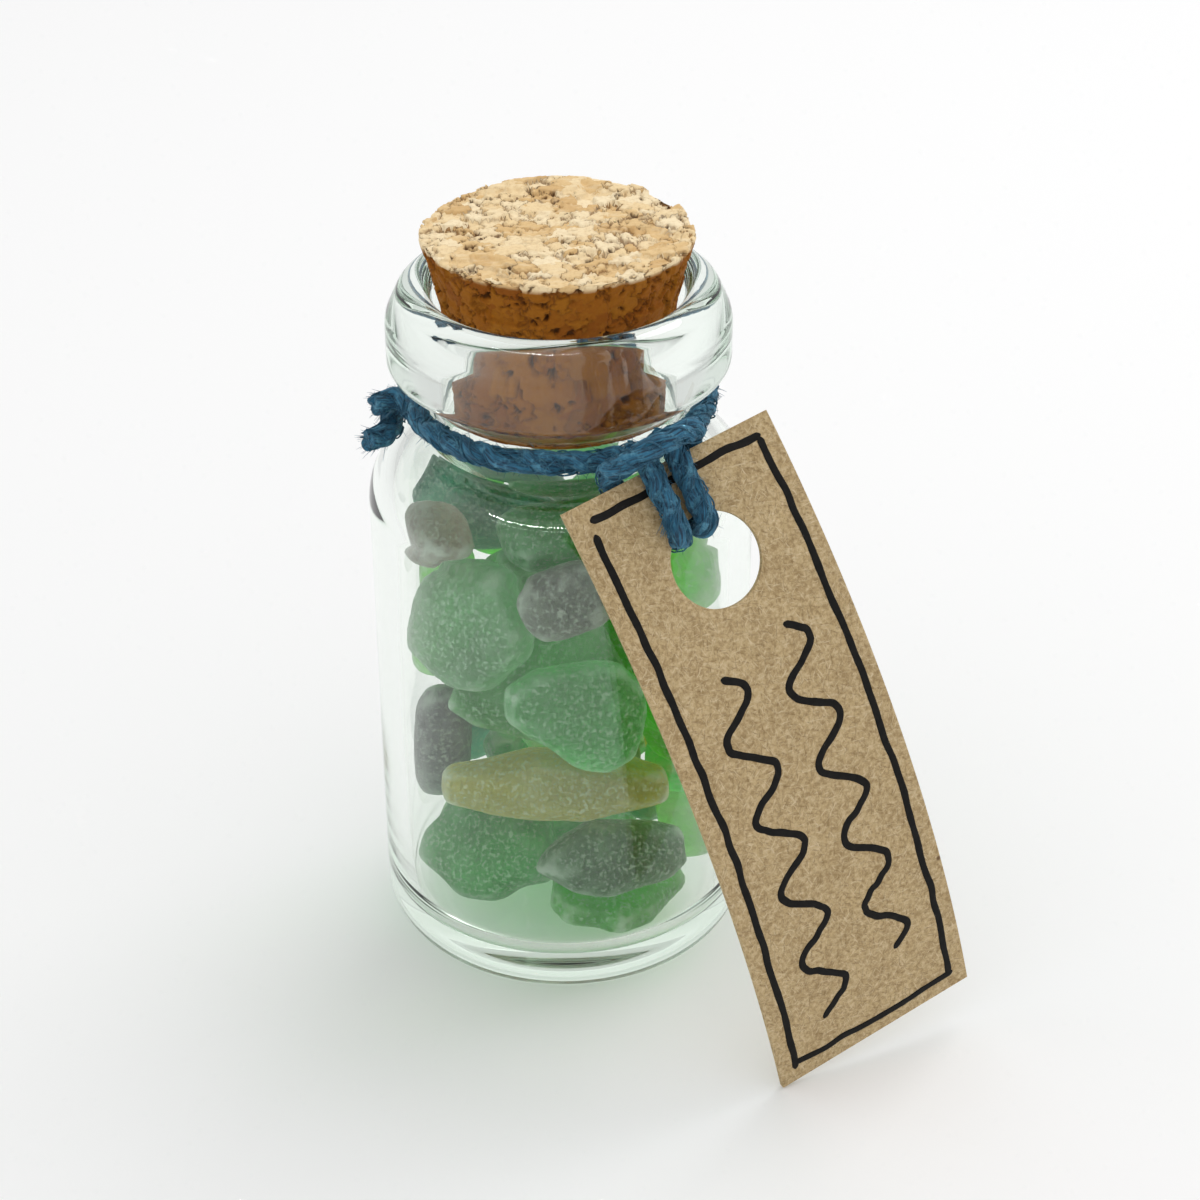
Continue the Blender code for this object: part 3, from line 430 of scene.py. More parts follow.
angle = add(ply_tree, MATH, turns, 2 * math.pi, operation="MULTIPLY")
tangent, normal = add(ply_tree, "GeometryNodeInputTangent"), add(ply_tree, "GeometryNodeInputNormal")
push = add(ply_tree, "ShaderNodeVectorRotate", normal, (0, 0, 0), tangent, angle)
# Off the middle by the ply's share of the cord, give or take its wander.
drift_out = chain(ply_tree, MATH, drift.outputs[1], ("SUBTRACT", 0.5), ("MULTIPLY_ADD", given["Wander"], 1.0))
far = chain(ply_tree, MATH, given["Cord Diameter"], ("MULTIPLY", given["Ply Offset"]), ("MULTIPLY", drift_out))
offset = add(ply_tree, VECTOR, push, far, operation="SCALE")
moved = add(ply_tree, "GeometryNodeSetPosition", copies, into={"Offset": offset})
width = chain(ply_tree, MATH, swell, ("SUBTRACT", 0.5), ("MULTIPLY_ADD", given["Unevenness"], 1.0))
ply_r = chain(ply_tree, MATH, given["Cord Diameter"], ("MULTIPLY", given["Ply Width"]), ("MULTIPLY", width))

# %% The ply's section, its two attributes and its fuzzy skin
section = add(ply_tree, "GeometryNodeCurvePrimitiveCircle", given["Sides"], into={"Radius": 1.0})
spot = add(ply_tree, "GeometryNodeInputPosition")
kept = {"Name": "around", "Value": spot}
section = add(ply_tree, "GeometryNodeStoreNamedAttribute", section, into=kept, data_type="FLOAT_VECTOR")
kept = {"Name": "along", "Value": add(ply_tree, MATH, seed, 0.37, length, operation="MULTIPLY_ADD")}
moved = add(ply_tree, "GeometryNodeStoreNamedAttribute", moved, into=kept)
swept = add(ply_tree, "GeometryNodeCurveToMesh", moved, section, ply_r, True)
around = add(ply_tree, "GeometryNodeInputNamedAttribute", "around", data_type="FLOAT_VECTOR")
along = add(ply_tree, "GeometryNodeInputNamedAttribute", "along")
lifted = add(ply_tree, MATH, along, FIBRES_PER_M, operation="MULTIPLY")
lifted = add(ply_tree, "ShaderNodeCombineXYZ", 0.0, 0.0, lifted)
place_in_ply = add(ply_tree, VECTOR, around, (2.2, 2.2, 2.2), lifted, operation="MULTIPLY_ADD")
lint = add(ply_tree, NOISE, place_in_ply, 1.0, 2.0)
lint = chain(ply_tree, MATH, lint, ("SUBTRACT", 0.5), ("MULTIPLY", given["Fuzz Depth"]))
lint = add(ply_tree, VECTOR, add(ply_tree, "GeometryNodeInputNormal"), lint, operation="SCALE")
fuzzy = add(ply_tree, "GeometryNodeSetPosition", swept, into={"Offset": lint})
end_tree(ply_tree, add(ply_tree, "GeometryNodeSetShadeSmooth", fuzzy), given["Finish"])

# %% [markdown]
# ## Routes of the cord
# The routes are the ones that the CAD model's tubes follow, so each piece sits where its solid does. The
# loop goes once round the neck and ends in two short tails where it is knotted. The hitch is a cow hitch:
# through the punched hole, up behind the card, over its top edge and across its own two legs. It is drawn
# fuller than its solid, closer to the card and a little further left, as a soft cord lies there.

# %% Routes
pitch = HITCH_D + STRAND_GAP
over = CARD_T / 2 + GAP + CORD_D / 2
leg, broad, joint_out, joint_up = 0.60 * pitch, 1.84 * pitch, 0.42 * over, 1.08 * over
ROUTE_STEP, HITCH_FULLNESS, HITCH_LEFT, HITCH_GAP = 0.0003, 1.28, 0.0007, 0.00006
middle = HOLE_SIDE - HITCH_LEFT


def hitch_route():
    """One leg after the other: each a half of the hitch, by its places across, out and up on the card."""
    off = CARD_T / 2 + HITCH_GAP + HITCH_D * HITCH_FULLNESS / 2
    half = [
        (leg, joint_out + 0.95 * JOINT_GAP, joint_up - 0.16 * JOINT_GAP),
        (leg, 1.12 * off, 0.42 * off),
        (leg, 1.06 * off, -0.16 * HOLE_DOWN),
        (leg, 1.02 * off, -0.50 * HOLE_DOWN),
        (leg, 1.02 * off, -0.90 * HOLE_DOWN),
        (leg, 0.80 * off, -HOLE_DOWN - 0.46 * off),
        (leg, 0, -HOLE_DOWN - 0.84 * off),
        (leg * 1.05, -0.80 * off, -HOLE_DOWN - 0.46 * off),
        (leg * 1.30, -1.04 * off, -0.90 * HOLE_DOWN),
        (broad * 0.80, -1.04 * off, -0.45 * HOLE_DOWN),
        (broad * 0.95, -1.04 * off, -0.08 * HOLE_DOWN),
        (broad, -0.72 * off, 0.72 * off),
        (broad, 0.05 * off, 1.02 * off),
        (broad * 0.98, 0.85 * off, 1.00 * off),
        (broad * 0.82, 1.75 * off, 1.02 * off),
        (broad * 0.48, off + 1.00 * pitch, 1.12 * off),
    ]
    left = [card.at(middle - u, h, a) for u, h, a in half]
    bar = [card.at(middle, off + 1.14 * pitch, 1.16 * off)]
    return left + bar + [card.at(middle + u, h, a) for u, h, a in reversed(half)]


def neck_ends(side):
    """The loop's last few places beside the card, from the joint toward the neck."""
    return [
        card.at(middle + side * leg, joint_out - 0.70 * JOINT_GAP, joint_up),
        card.at(middle + side * leg, joint_out - 0.52 * CORD_D, joint_up - (0.02 + 0.04 * side) * CORD_D),
        card.at(middle + side * leg * 1.1, joint_out - 1.12 * CORD_D, joint_up - (0.04 + 0.08 * side) * CORD_D),
    ]


reach = ring_r + 0.45 * CORD_D
front_route = neck_ends(-1) + [ring_point(a) for a in np.linspace(CARD_SIDE - 16, KNOT_AT - 348, 14)]
front_route += [
    ring_point(KNOT_AT + 2, ring_r + 0.10 * CORD_D, ring_z + 0.04 * CORD_D),
    ring_point(KNOT_AT - 4, ring_r + 0.55 * CORD_D, ring_z + 0.04 * CORD_D),
    ring_point(KNOT_AT - 3, ring_r + 0.55 * CORD_D + 0.50 * TAIL, ring_z),
    ring_point(KNOT_AT - 1, ring_r + 0.30 * CORD_D + TAIL, ring_z - 0.05 * CORD_D),
]
back_route = neck_ends(1) + [ring_point(a) for a in np.linspace(CARD_SIDE + 19, KNOT_AT - 36, 20)]
back_route += [
    ring_point(KNOT_AT - 24, ring_r + 0.30 * CORD_D, ring_z - 0.30 * CORD_D),
    ring_point(KNOT_AT - 12, reach + 0.30 * CORD_D, ring_z - 0.95 * CORD_D),
    ring_point(KNOT_AT - 2, reach + 0.55 * CORD_D, ring_z - 1.22 * CORD_D),
    ring_point(KNOT_AT + 4, reach + 0.40 * CORD_D + 0.50 * TAIL, ring_z - 1.20 * CORD_D),
    ring_point(KNOT_AT + 7, reach + 0.35 * CORD_D + TAIL, ring_z - 1.12 * CORD_D),
]
# Each cord: its route, its thickness and its seed.
routes = {
    "neck_cord_front": (smooth_path(front_route, ROUTE_STEP), CORD_D, 3),
    "neck_cord_back": (smooth_path(back_route, ROUTE_STEP), CORD_D, 5),
    "tag_hitch": (smooth_path(hitch_route(), ROUTE_STEP), HITCH_D * HITCH_FULLNESS, 8),
}


def route_length(points):
    return float(np.linalg.norm(np.diff(points, axis=0), axis=1).sum())


for name, (points, _, _) in routes.items():
    print("%s: %.1f mm" % (name, 1000 * route_length(points)))


# %% Lines to meshes, and meshes to one piece
def polyline(name, runs):
    """Open runs of points as one mesh of edges."""
    points, edges = [], []
    for run in runs:
        edges += [(len(points) + i, len(points) + i + 1) for i in range(len(run) - 1)]
        points += [tuple(p) for p in run]
    return mesh_piece(name, points, [], edges=edges)


def join(name, pieces):
    """Several meshes as one piece, with the finish of the first."""
    whole = bmesh.new()
    for piece in pieces:
        whole.from_mesh(piece.data)
    kept = pieces[0]
    whole.to_mesh(kept.data)
    whole.free()
    for piece in pieces[1:]:
        bpy.data.objects.remove(piece)
    kept.name = name
    kept.data.name = name
    return kept


# %% [markdown]
# ## Loose fibres
# What tells cotton from plastic at a glance is its fuzz. Short hairs stand off the plies, and each cut end
# opens into a small brush. Every hair is a thin tapered tube with three sides, so hundreds stay light.

# %% Tree for hairs
hair_tree, given = new_tree("Hairs", {"Thickness": 0.000024, "Finish": cord_finish})
curve = add(hair_tree, "GeometryNodeMeshToCurve", given["Geometry"])
share = add(hair_tree, "GeometryNodeSplineParameter").outputs["Factor"]
taper = add(hair_tree, RANGE, share, 0.0, 1.0, 1.0, 0.35)
thick = add(hair_tree, MATH, taper, given["Thickness"], operation="MULTIPLY")
section = add(hair_tree, "GeometryNodeCurvePrimitiveCircle", 3, into={"Radius": 1.0})
end_tree(hair_tree, add(hair_tree, "GeometryNodeCurveToMesh", curve, section, thick, True), given["Finish"])


# %% Where the hairs stand
SKIN_share = 0.42


def fuzz_runs(points, diameter, seed, per_mm, reach):
    """Short bent hairs that leave the cord's surface at a slant."""
    dice = random.Random(seed)
    runs = []
    for _ in range(int(per_mm * 1000 * route_length(points))):
        i = dice.randrange(1, len(points) - 1)
        here = Vector(points[i])
        ahead = (Vector(points[i + 1]) - here).normalized()
        out = Vector([dice.gauss(0, 1) for _ in range(3)])
        out = (out - ahead * out.dot(ahead)).normalized()
        size = reach * dice.uniform(0.4, 1.0)
        start = here + out * diameter * SKIN_share
        bend = Vector([dice.gauss(0, 0.4) for _ in range(3)])
        way = (ahead * dice.choice((-1, 1)) * 1.2 + out * 0.7).normalized()
        runs.append([start + (way + bend * s) * size * s for s in (0, 0.35, 0.7, 1.0)])
    return runs


def brush_runs(tip, ahead, diameter, seed, count, reach):
    """A brush of fibres that opens from a cut end."""
    dice = random.Random(seed)
    tip, ahead = Vector(tip), Vector(ahead).normalized()
    runs = []
    for _ in range(count):
        out = Vector([dice.gauss(0, 1) for _ in range(3)])
        out = (out - ahead * out.dot(ahead)).normalized()
        start = tip - ahead * diameter * 0.5 + out * diameter * SKIN_share * dice.random() ** 0.5
        way = (ahead + out * dice.uniform(0.0, 0.45)).normalized()
        size = reach * dice.uniform(0.5, 1.0)
        runs.append([start + way * size * s + out * size * 0.15 * s * s for s in (0, 0.4, 0.75, 1.0)])
    return runs


# %% Lay the cords
HAIRS_PER_MM, HAIR_LENGTH, TAIL_BRUSH, END_BRUSH = 16.0, 0.0006, 0.0011, 0.0012
PLY_LAY_share, FIBRE_LAY_share = 4.2, 5.5
FIBRES = {"Plies": 13, "Sides": 5, "Ply Width": 0.040, "Ply Offset": 0.455, "Wander": 0.9, "Step": 0.0002}
FIBRES["Fuzz Depth"] = 0.0


def laid_cord(name, parts, brushes):
    """Cords with their fibres, hairs and brushes, as one piece."""
    made, hairs = [], list(brushes)
    for part in parts:
        points, diameter, seed = routes[part]
        core = polyline(part + "_plies", [points])
        run_tree(core, ply_tree, Cord_Diameter=diameter, Lay_Length=diameter * PLY_LAY_share, Seed=seed)
        strands = polyline(part + "_fibres", [points])
        lay = diameter * FIBRE_LAY_share
        run_tree(strands, ply_tree, Cord_Diameter=diameter, Lay_Length=lay, Seed=seed + 40, **FIBRES)
        made += [core, strands]
        hairs += fuzz_runs(points, diameter, seed, HAIRS_PER_MM, HAIR_LENGTH)
    return join(name, made + [run_tree(polyline(name + "_fuzz", hairs), hair_tree)])


tails = []
for part in ("neck_cord_front", "neck_cord_back"):
    points, diameter, seed = routes[part]
    tails += brush_runs(points[-1], points[-1] - points[-3], diameter, seed + 50, 60, TAIL_BRUSH)
neck_loop = laid_cord("blue_cord_loop", ["neck_cord_front", "neck_cord_back"], tails)
# The cord's other cut end shows as a small brush beside the left leg, just above the hole.
cut_end = card.at(middle - leg * 1.5, 0.0010, -HOLE_DOWN * 0.92)
beyond = card.at(middle - leg * 2.1, 0.0007, -HOLE_DOWN * 1.5)
frayed = brush_runs(cut_end, beyond - cut_end, HITCH_D * 0.7, 71, 46, END_BRUSH)
hitch = laid_cord("blue_cord_hitch", ["tag_hitch"], frayed)
for piece, body, solids in (
    (neck_loop, "neck_cord_body", ("neck_cord_front", "neck_cord_back")),
    (hitch, "tag_body", ("tag_hitch",)),
):
    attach(piece, body)
    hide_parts(*solids)
    print(piece.name, "faces:", len(piece.data.polygons))

# %% [markdown]
# ## Clear glass bottle
# A bottle this small is made from glass tube: the base and the lip are shaped hot, so the wall is even and
# the lip is a thick soft band. It is one outline turned about the axis, with the inside as well as the
# outside, because glass bends light at both faces. The CAD solid has 64 sides, and glass shows every one of
# them, so this piece takes its place with 256 sides and a fine outline.


# %% Outline of the bottle
BASE_RINGS, FLOOR_RING = (0.003, 0.006), 0.004


def arc(r, z, radius, start, end, steps):
    """Points of an arc in the (r, z) plane, with 0 degrees outward and 90 up."""
    turns = np.radians(np.linspace(start, end, steps + 1))
    return [(r + radius * math.cos(a), z + radius * math.sin(a)) for a in turns]


def tangent_turn(start, end, reach):
    """Direction square to a line that touches two circles, from their centres and what their radii make."""
    r, z = end[0] - start[0], end[1] - start[1]
    return math.degrees(math.atan2(z, r) + math.acos(reach / math.hypot(r, z)))


def bottle_outline():
    """From the middle of the base, up the outside, over the lip and down inside to the floor."""
    f = NECK_FILLET
    top_turn = math.degrees(math.acos((NECK_R + f - shoulder_r) / (SHOULDER_R + f)))
    low_fillet = (NECK_R + f, shoulder_z + (SHOULDER_R + f) * math.sin(math.radians(top_turn)))
    under = (NECK_R + f, lip_under - 0.7 * f)
    low = (LIP_R - LIP_LOW_ROUND, GLASS_H - LIP_FACE_BOTTOM)
    high = (LIP_R - LIP_TOP_ROUND, GLASS_H - LIP_FACE_TOP)
    edge = (BORE_R + BORE_TAPER + LIP_EDGE, mouth_z)
    under_turn = tangent_turn(low, under, LIP_LOW_ROUND + f)
    over_turn = tangent_turn(edge, high, LIP_EDGE - LIP_TOP_ROUND)
    inner = SHOULDER_R - WALL
    inner_turn = math.degrees(math.acos((BORE_R + f - shoulder_r) / (inner + f)))
    inner_z = shoulder_z + (inner + f) * math.sin(math.radians(inner_turn))
    points = [(0, 0)] + [(r, 0) for r in BASE_RINGS]
    points += arc(BODY_R - HEEL_R, HEEL_R, HEEL_R, -90, 0, 18)
    points += [(BODY_R, z) for z in np.linspace(HEEL_R, shoulder_z, 14)[1:-1]]
    points += arc(shoulder_r, shoulder_z, SHOULDER_R, 0, top_turn, 18)
    points += arc(*low_fillet, f, 180 + top_turn, 180, 6)[1:]
    points += arc(*under, f, 180, 180 + under_turn, 6)
    points += arc(*low, LIP_LOW_ROUND, under_turn, 0, 10)
    points += arc(*high, LIP_TOP_ROUND, 0, over_turn, 10)
    points += arc(*edge, LIP_EDGE, over_turn, 180, 18)
    inside_from = len(points) - 1
    low_z = inner_z + f
    points += [(BORE_R + BORE_TAPER * (1 - s), mouth_z + (low_z - mouth_z) * s) for s in np.linspace(0, 1, 8)[1:]]
    points += arc(BORE_R + f, inner_z, f, 180, 180 + inner_turn, 6)[1:]
    points += arc(shoulder_r, shoulder_z, inner, inner_turn, 0, 16)[1:]
    points += [(BODY_R - WALL, z) for z in np.linspace(shoulder_z, FLOOR + INNER_CORNER_R, 14)[1:-1]]
    points += arc(BODY_R - WALL - INNER_CORNER_R, FLOOR + INNER_CORNER_R, INNER_CORNER_R, 0, -90, 14)
    points += [(FLOOR_RING, FLOOR), (0, FLOOR)]
    return points, inside_from


# %% Turn an outline
def turned(name, outline, sides, waver=None):
    """An outline turned about Z. waver moves each radius a little by its place in the outline, height and turn."""
    points, rings, faces = [], [], []
    for i, (r, z) in enumerate(outline):
        start, count = len(points), sides if r > 1e-6 else 1
        rings.append([start + k % count for k in range(sides + 1)])
        for k in range(count):
            turn = 2 * math.pi * k / sides
            reach = r + (waver(i, r, z, turn) if waver else 0)
            points.append((reach * math.cos(turn), reach * math.sin(turn), z))
    for low, high in zip(rings, rings[1:]):
        for k in range(sides):
            corners = [low[k], low[k + 1], high[k + 1], high[k]]
            faces.append(tuple(dict.fromkeys(corners)))
    made = mesh_piece(name, points, faces)
    outward(made)
    return made


outline, inside_from = bottle_outline()
BOTTLE_SIDES, CORK_SIDES, WAVER, STILL_R = 256, 160, 0.000018, 0.005


def glass_waver(i, r, z, turn):
    """The inner face of blown glass is never quite round: a few hundredths of a millimetre."""
    if i < inside_from or r < STILL_R:
        return 0.0
    waves = math.sin(3 * turn + 260 * z) + 0.6 * math.sin(5 * turn - 410 * z + 1.3) + 0.4 * math.sin(900 * z)
    return WAVER * waves


bottle = turned("glass_bottle", outline, BOTTLE_SIDES, glass_waver)
smooth(bottle)
print("bottle faces:", len(bottle.data.polygons))

# %% [markdown]
# ## Soda-lime glass
# Bottle glass has an index of about 1.5 and a trace of iron, which shows green only where light runs far inside
# it, as in the thick base, so the tint belongs to the volume and not to the surface. A renderer treats the
# light that passes as a caustic, which stays dark or noisy, so lamps and the floor's glow are let straight
# through by Light Path, and the eye still sees bent, tinted glass.

# %% Bottle glass
glass, tree, shader = new_material(
    "soda_lime_glass", Base_Color=srgb("#fdfffd"), Roughness=0.0, IOR=1.5, Transmission_Weight=1.0
)
clear_inside(tree, shader, srgb("#feffff"), srgb("#cdf5d6"), 16.0)
bottle.data.materials.append(glass)
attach(bottle, "bottle_body")
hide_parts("bottle")

# %% [markdown]
# ## Cork
# The stopper is agglomerated cork: crumbs of bark from one to three millimetres across, pressed together and
# turned to a taper. The large crumbs stand at different heights, and the CAD solid has the same steps. Between
# them lie smaller crumbs, dark gaps and pores. The large steps are set here from the nearest crumb's
# middle, and a tree adds the small ones.


# %% The cork's large crumbs
CORK_EDGE, TOP_BAND = 0.00025, 0.0004
# The crumbs' edges are ragged: waves per metre and their size. Blender's noise needs a seed to repeat itself.
RAGGED, RAGGED_SEED = ((1300, 0.0005), (3100, 0.00025)), 5


def crumb_spots():
    """The middles of the largest crumbs, in a spiral over the top and in a row round the bare side."""
    golden = math.pi * (3 - math.sqrt(5))
    count = round(math.pi * CORK_TOP_R**2 / CRUMB_SPACING**2)
    spots = []
    for i in range(count):
        r = CORK_TOP_R * math.sqrt((i + 0.5) / count)
        spots.append(Vector((r * math.cos(golden * i), r * math.sin(golden * i), cork_top)))
    rows = max(1, round(CORK_OUT / CRUMB_SPACING))
    around = max(3, round(2 * math.pi * CORK_TOP_R / CRUMB_SPACING))
    for row in range(rows):
        z = cork_top - CORK_OUT * (row + 1) / (rows + 0.5)
        for i in range(around):
            turn = 2 * math.pi * (i + 0.5 * row) / around
            spots.append(Vector((CORK_TOP_R * math.cos(turn), CORK_TOP_R * math.sin(turn), z)))
    return spots


def crumble(piece):
    """Lowers each large crumb of the bare surface by its own share of the step."""
    noise.seed_set(RAGGED_SEED)
    spots = crumb_spots()
    shares = [max(0, (math.sin(12.9898 * i) * 43758.5453 % 1 - 0.4) / 0.6) for i in range(len(spots))]
    shares[0] = 0
    tree = KDTree(len(spots))
    for i, spot in enumerate(spots):
        tree.insert(spot, i)
    tree.balance()
    for vertex in piece.data.vertices:
        place = vertex.co.copy()
        if place.z < GLASS_H + CORK_EDGE:
            continue
        ragged = place.copy()
        for scale, drift in RAGGED:
            ragged += noise.noise_vector(place * scale) * drift
        depth = CRUMB_STEP * shares[tree.find(ragged)[1]]
        out = Vector((place.x, place.y, 0))
        if out.length > CORK_TOP_R * 0.9:
            vertex.co -= out.normalized() * depth
        if place.z > cork_top - TOP_BAND:
            vertex.co.z -= depth
    piece.data.update()


# %% The pattern of small crumbs
def crumbs(tree, where, size=0.0013):
    """Each crumb's own random colour, the gaps between crumbs and the pores. size is a small crumb's width."""
    wander = add(tree, NOISE, where, 1 / (size * 0.55), 2.0).outputs["Color"]
    place = add(tree, VECTOR, wander, (size * 1.3,) * 3, where, operation="MULTIPLY_ADD")
    cells = add(tree, "ShaderNodeTexVoronoi", place, 1 / size)
    seams = add(tree, "ShaderNodeTexVoronoi", place, 1 / size, feature="DISTANCE_TO_EDGE")
    holes = add(tree, "ShaderNodeTexVoronoi", place, 1 / (size * 0.52))
    own = add(tree, SPLIT, cells.outputs["Color"])
    rare = add(tree, SPLIT, holes.outputs["Color"])
    gap = add(tree, RANGE, seams, 0.0, 0.11, 1.0, 0.0, interpolation_type="SMOOTHSTEP")
    open_gap = add(tree, RANGE, own.outputs[1], 0.3, 0.8, interpolation_type="SMOOTHSTEP")
    deep = add(tree, MATH, gap, open_gap, operation="MULTIPLY")
    chosen = add(tree, RANGE, rare, 0.80, 0.82, interpolation_type="SMOOTHSTEP")
    hollow = add(tree, RANGE, holes, 0.22, 0.50, 1.0, 0.0, interpolation_type="SMOOTHSTEP")
    pore = add(tree, MATH, chosen, hollow, operation="MULTIPLY")
    return own, deep, pore


# %% Tree that breaks the surface into small crumbs
cork_finish, tree, shader = new_material("agglomerated_cork", Roughness=0.82, Specular_IOR_Level=0.2)
crumb_sizes = {"Step Depth": 0.00024, "Gap Depth": 0.00026, "Pore Depth": 0.00034, "Grit": 0.00012}
crumb_tree, given = new_tree("Cork crumbs", crumb_sizes | {"Finish": cork_finish})
spot = add(crumb_tree, "GeometryNodeInputPosition")
kept = {"Name": "rest", "Value": spot}
kept = add(crumb_tree, "GeometryNodeStoreNamedAttribute", given["Geometry"], into=kept, data_type="FLOAT_VECTOR")
rest = add(crumb_tree, "GeometryNodeInputNamedAttribute", "rest", data_type="FLOAT_VECTOR").outputs[0]
own, deep, pore = crumbs(crumb_tree, rest)
low_crumb = add(crumb_tree, RANGE, own.outputs[2], 0.5, 0.95)
grit = add(crumb_tree, NOISE, rest, 4200.0, 3.0)
depth = add(crumb_tree, MATH, low_crumb, given["Step Depth"], operation="MULTIPLY")
for share, size in ((deep, "Gap Depth"), (pore, "Pore Depth"), (grit, "Grit")):
    depth = add(crumb_tree, MATH, share, given[size], depth, operation="MULTIPLY_ADD")
inward = add(crumb_tree, MATH, depth, -1.0, operation="MULTIPLY")
# The steps between large crumbs are steep, so the way in is a mean over the neighbours, or spikes would grow.
facing = add(crumb_tree, "GeometryNodeInputNormal")
facing = add(crumb_tree, "GeometryNodeBlurAttribute", facing, 10, data_type="FLOAT_VECTOR")
facing = add(crumb_tree, VECTOR, facing, operation="NORMALIZE")
inward = add(crumb_tree, VECTOR, facing, inward, operation="SCALE")
end_tree(crumb_tree, add(crumb_tree, "GeometryNodeSetPosition", kept, into={"Offset": inward}), given["Finish"])


# %% Cork stopper
LOW_RINGS, TOP_RINGS = (0.002, 0.004), (0.006, 0.003)


def cork_outline():
    """From the middle of the low end, up the tapered side to the middle of the top."""
    mouth_r = BORE_R + BORE_TAPER - GAP
    low_r = min(CORK_LOW_R, BORE_R + BORE_TAPER * (cork_low - bore_low) / (mouth_z - bore_low) - GAP)
    e = CORK_EDGE
    points = [(0, cork_low)] + [(r, cork_low) for r in LOW_RINGS]
    points += arc(low_r - e, cork_low + e, e, -90, 0, 3)
    wider, rise = mouth_r - low_r, mouth_z - cork_low - e
    points += [(low_r + wider * s, cork_low + e + rise * s) for s in (0.35, 0.7, 1.0)]
    points += arc(CORK_TOP_R - e, cork_top - e, e, 0, 90, 3)
    return points + [(r, cork_top) for r in TOP_RINGS] + [(0, cork_top)]


cork = turned("cork_stopper_crumbs", cork_outline(), CORK_SIDES)
modify(cork, "REMESH", mode="VOXEL", voxel_size=0.00012)
settle(cork)
crumble(cork)
modify(cork, "SMOOTH", iterations=3, factor=0.5)
settle(cork)
run_tree(cork, crumb_tree)
smooth(cork)
print("cork faces:", len(cork.data.polygons))

# %% [markdown]
# The same pattern of small crumbs now colours the cork, so dents and dark gaps agree. Cut cork gives the eye
# pale dry flakes on the sawn top. The side was turned on a lathe, and its pores were torn open. Its darker
# golden brown is painted shade, because the light from above hardly reaches the side.

# %% Cork finish
rest = add(tree, "ShaderNodeAttribute", attribute_name="rest").outputs["Vector"]
own, deep, pore = crumbs(tree, rest)
ramp = add(tree, "ShaderNodeValToRGB", own.outputs[0])
ramp.color_ramp.elements[0].color = srgb("#d9b47e")
ramp.color_ramp.elements[1].color = srgb("#fbe9c4")
for spot, code in ((0.18, "#e2bf88"), (0.45, "#f1d6a6"), (0.75, "#f6dfb4")):
    ramp.color_ramp.elements.new(spot).color = srgb(code)
grain = add(tree, NOISE, rest, 3800.0, 4.0, 0.65)
laid = add(tree, VECTOR, rest, (900.0, 2600.0, 2600.0), operation="MULTIPLY")
streak = add(tree, NOISE, laid, 1.0, 3.0)
brown = add(tree, RANGE, grain, 0.46, 0.74, 0.0, 0.40)
pale = add(tree, RANGE, streak, 0.52, 0.72, 0.0, 0.40)
tone = ramp
for share, code in ((brown, "#b98a50"), (pale, "#f6e4c0")):
    tone = add(tree, MIX, share, tone, srgb(code), data_type="RGBA")
height = add(tree, SPLIT, rest).outputs[2]
# Painted shade: the side is multiplied to a darker golden brown, as the light from above hardly reaches it.
side_shade_share = add(tree, RANGE, height, cork_top - 0.0007, cork_top - 0.00035, 1.0, 0.0)
side_painted_shade = add(tree, MIX, 1.0, tone, srgb("#9c6a1a"), data_type="RGBA", blend_type="MULTIPLY")
tone = add(tree, MIX, side_shade_share, tone, side_painted_shade, data_type="RGBA")
# Gaps and pores are darkened where the surface dents: partly their own colour, partly painted shade in the
# hollows.
for hollow, strength, code in ((deep, 0.70, "#6e4118"), (pore, 0.90, "#4a2a10")):
    share = add(tree, MATH, hollow, strength, operation="MULTIPLY")
    tone = add(tree, MIX, share, tone, srgb(code), data_type="RGBA")
hollows = add(tree, MATH, deep, pore, operation="ADD")
dress(tree, shader, tone, chain(tree, MATH, grain, ("MULTIPLY", 0.5), ("SUBTRACT", hollows)), 0.6, 0.00008)
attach(cork, "cork_body")
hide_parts("cork_stopper")

# %% [markdown]
# ## Sea glass
# Broken bottles turn to pebbles in the surf: the faces are dented, the edges rounded, and the whole surface
# is etched by thousands of tiny knocks, which makes it look frosted and dry. Each pebble starts as a copy of
# its CAD solid and gets an even skin of small faces from a voxel remesh. Rounding that skin draws the pebble in
# a little, so a tree first fills it out by a tenth of a millimetre, well under half the space to its neighbours.
# From there it only dents it inward, and notes where its edges are, since edges take the most knocks.

# %% Tree that wears a pebble
wear_sizes = {
    "Lump Size": 0.0034,
    "Lump Depth": 0.00016,
    "Pit Size": 0.00075,
    "Pit Depth": 0.00008,
    "Fullness": 0.00012,
    "Seed": 0.0,
    "Finish": glass,
}
wear_tree, given = new_tree("Beach wear", wear_sizes)
where = add(wear_tree, "GeometryNodeInputPosition")
seeded = add(wear_tree, "ShaderNodeCombineXYZ", given["Seed"])
seeded = add(wear_tree, VECTOR, where, seeded, operation="ADD")
scales = [add(wear_tree, MATH, 1.0, given[size], operation="DIVIDE") for size in ("Lump Size", "Pit Size")]
lumps = add(wear_tree, NOISE, seeded, scales[0], 1.0)
pits = add(wear_tree, "ShaderNodeTexVoronoi", seeded, scales[1])
dent = add(wear_tree, RANGE, lumps, 0.35, 0.75)
nick = add(wear_tree, RANGE, pits, 0.0, 0.45, 1.0, 0.0)
depth = add(wear_tree, MATH, dent, given["Lump Depth"], operation="MULTIPLY")
depth = add(wear_tree, MATH, nick, given["Pit Depth"], depth, operation="MULTIPLY_ADD")
inward = add(wear_tree, MATH, given["Fullness"], depth, operation="SUBTRACT")
outside = add(wear_tree, "GeometryNodeInputNormal")
inward = add(wear_tree, VECTOR, outside, inward, operation="SCALE")
moved = add(wear_tree, "GeometryNodeSetPosition", given["Geometry"], into={"Offset": inward})
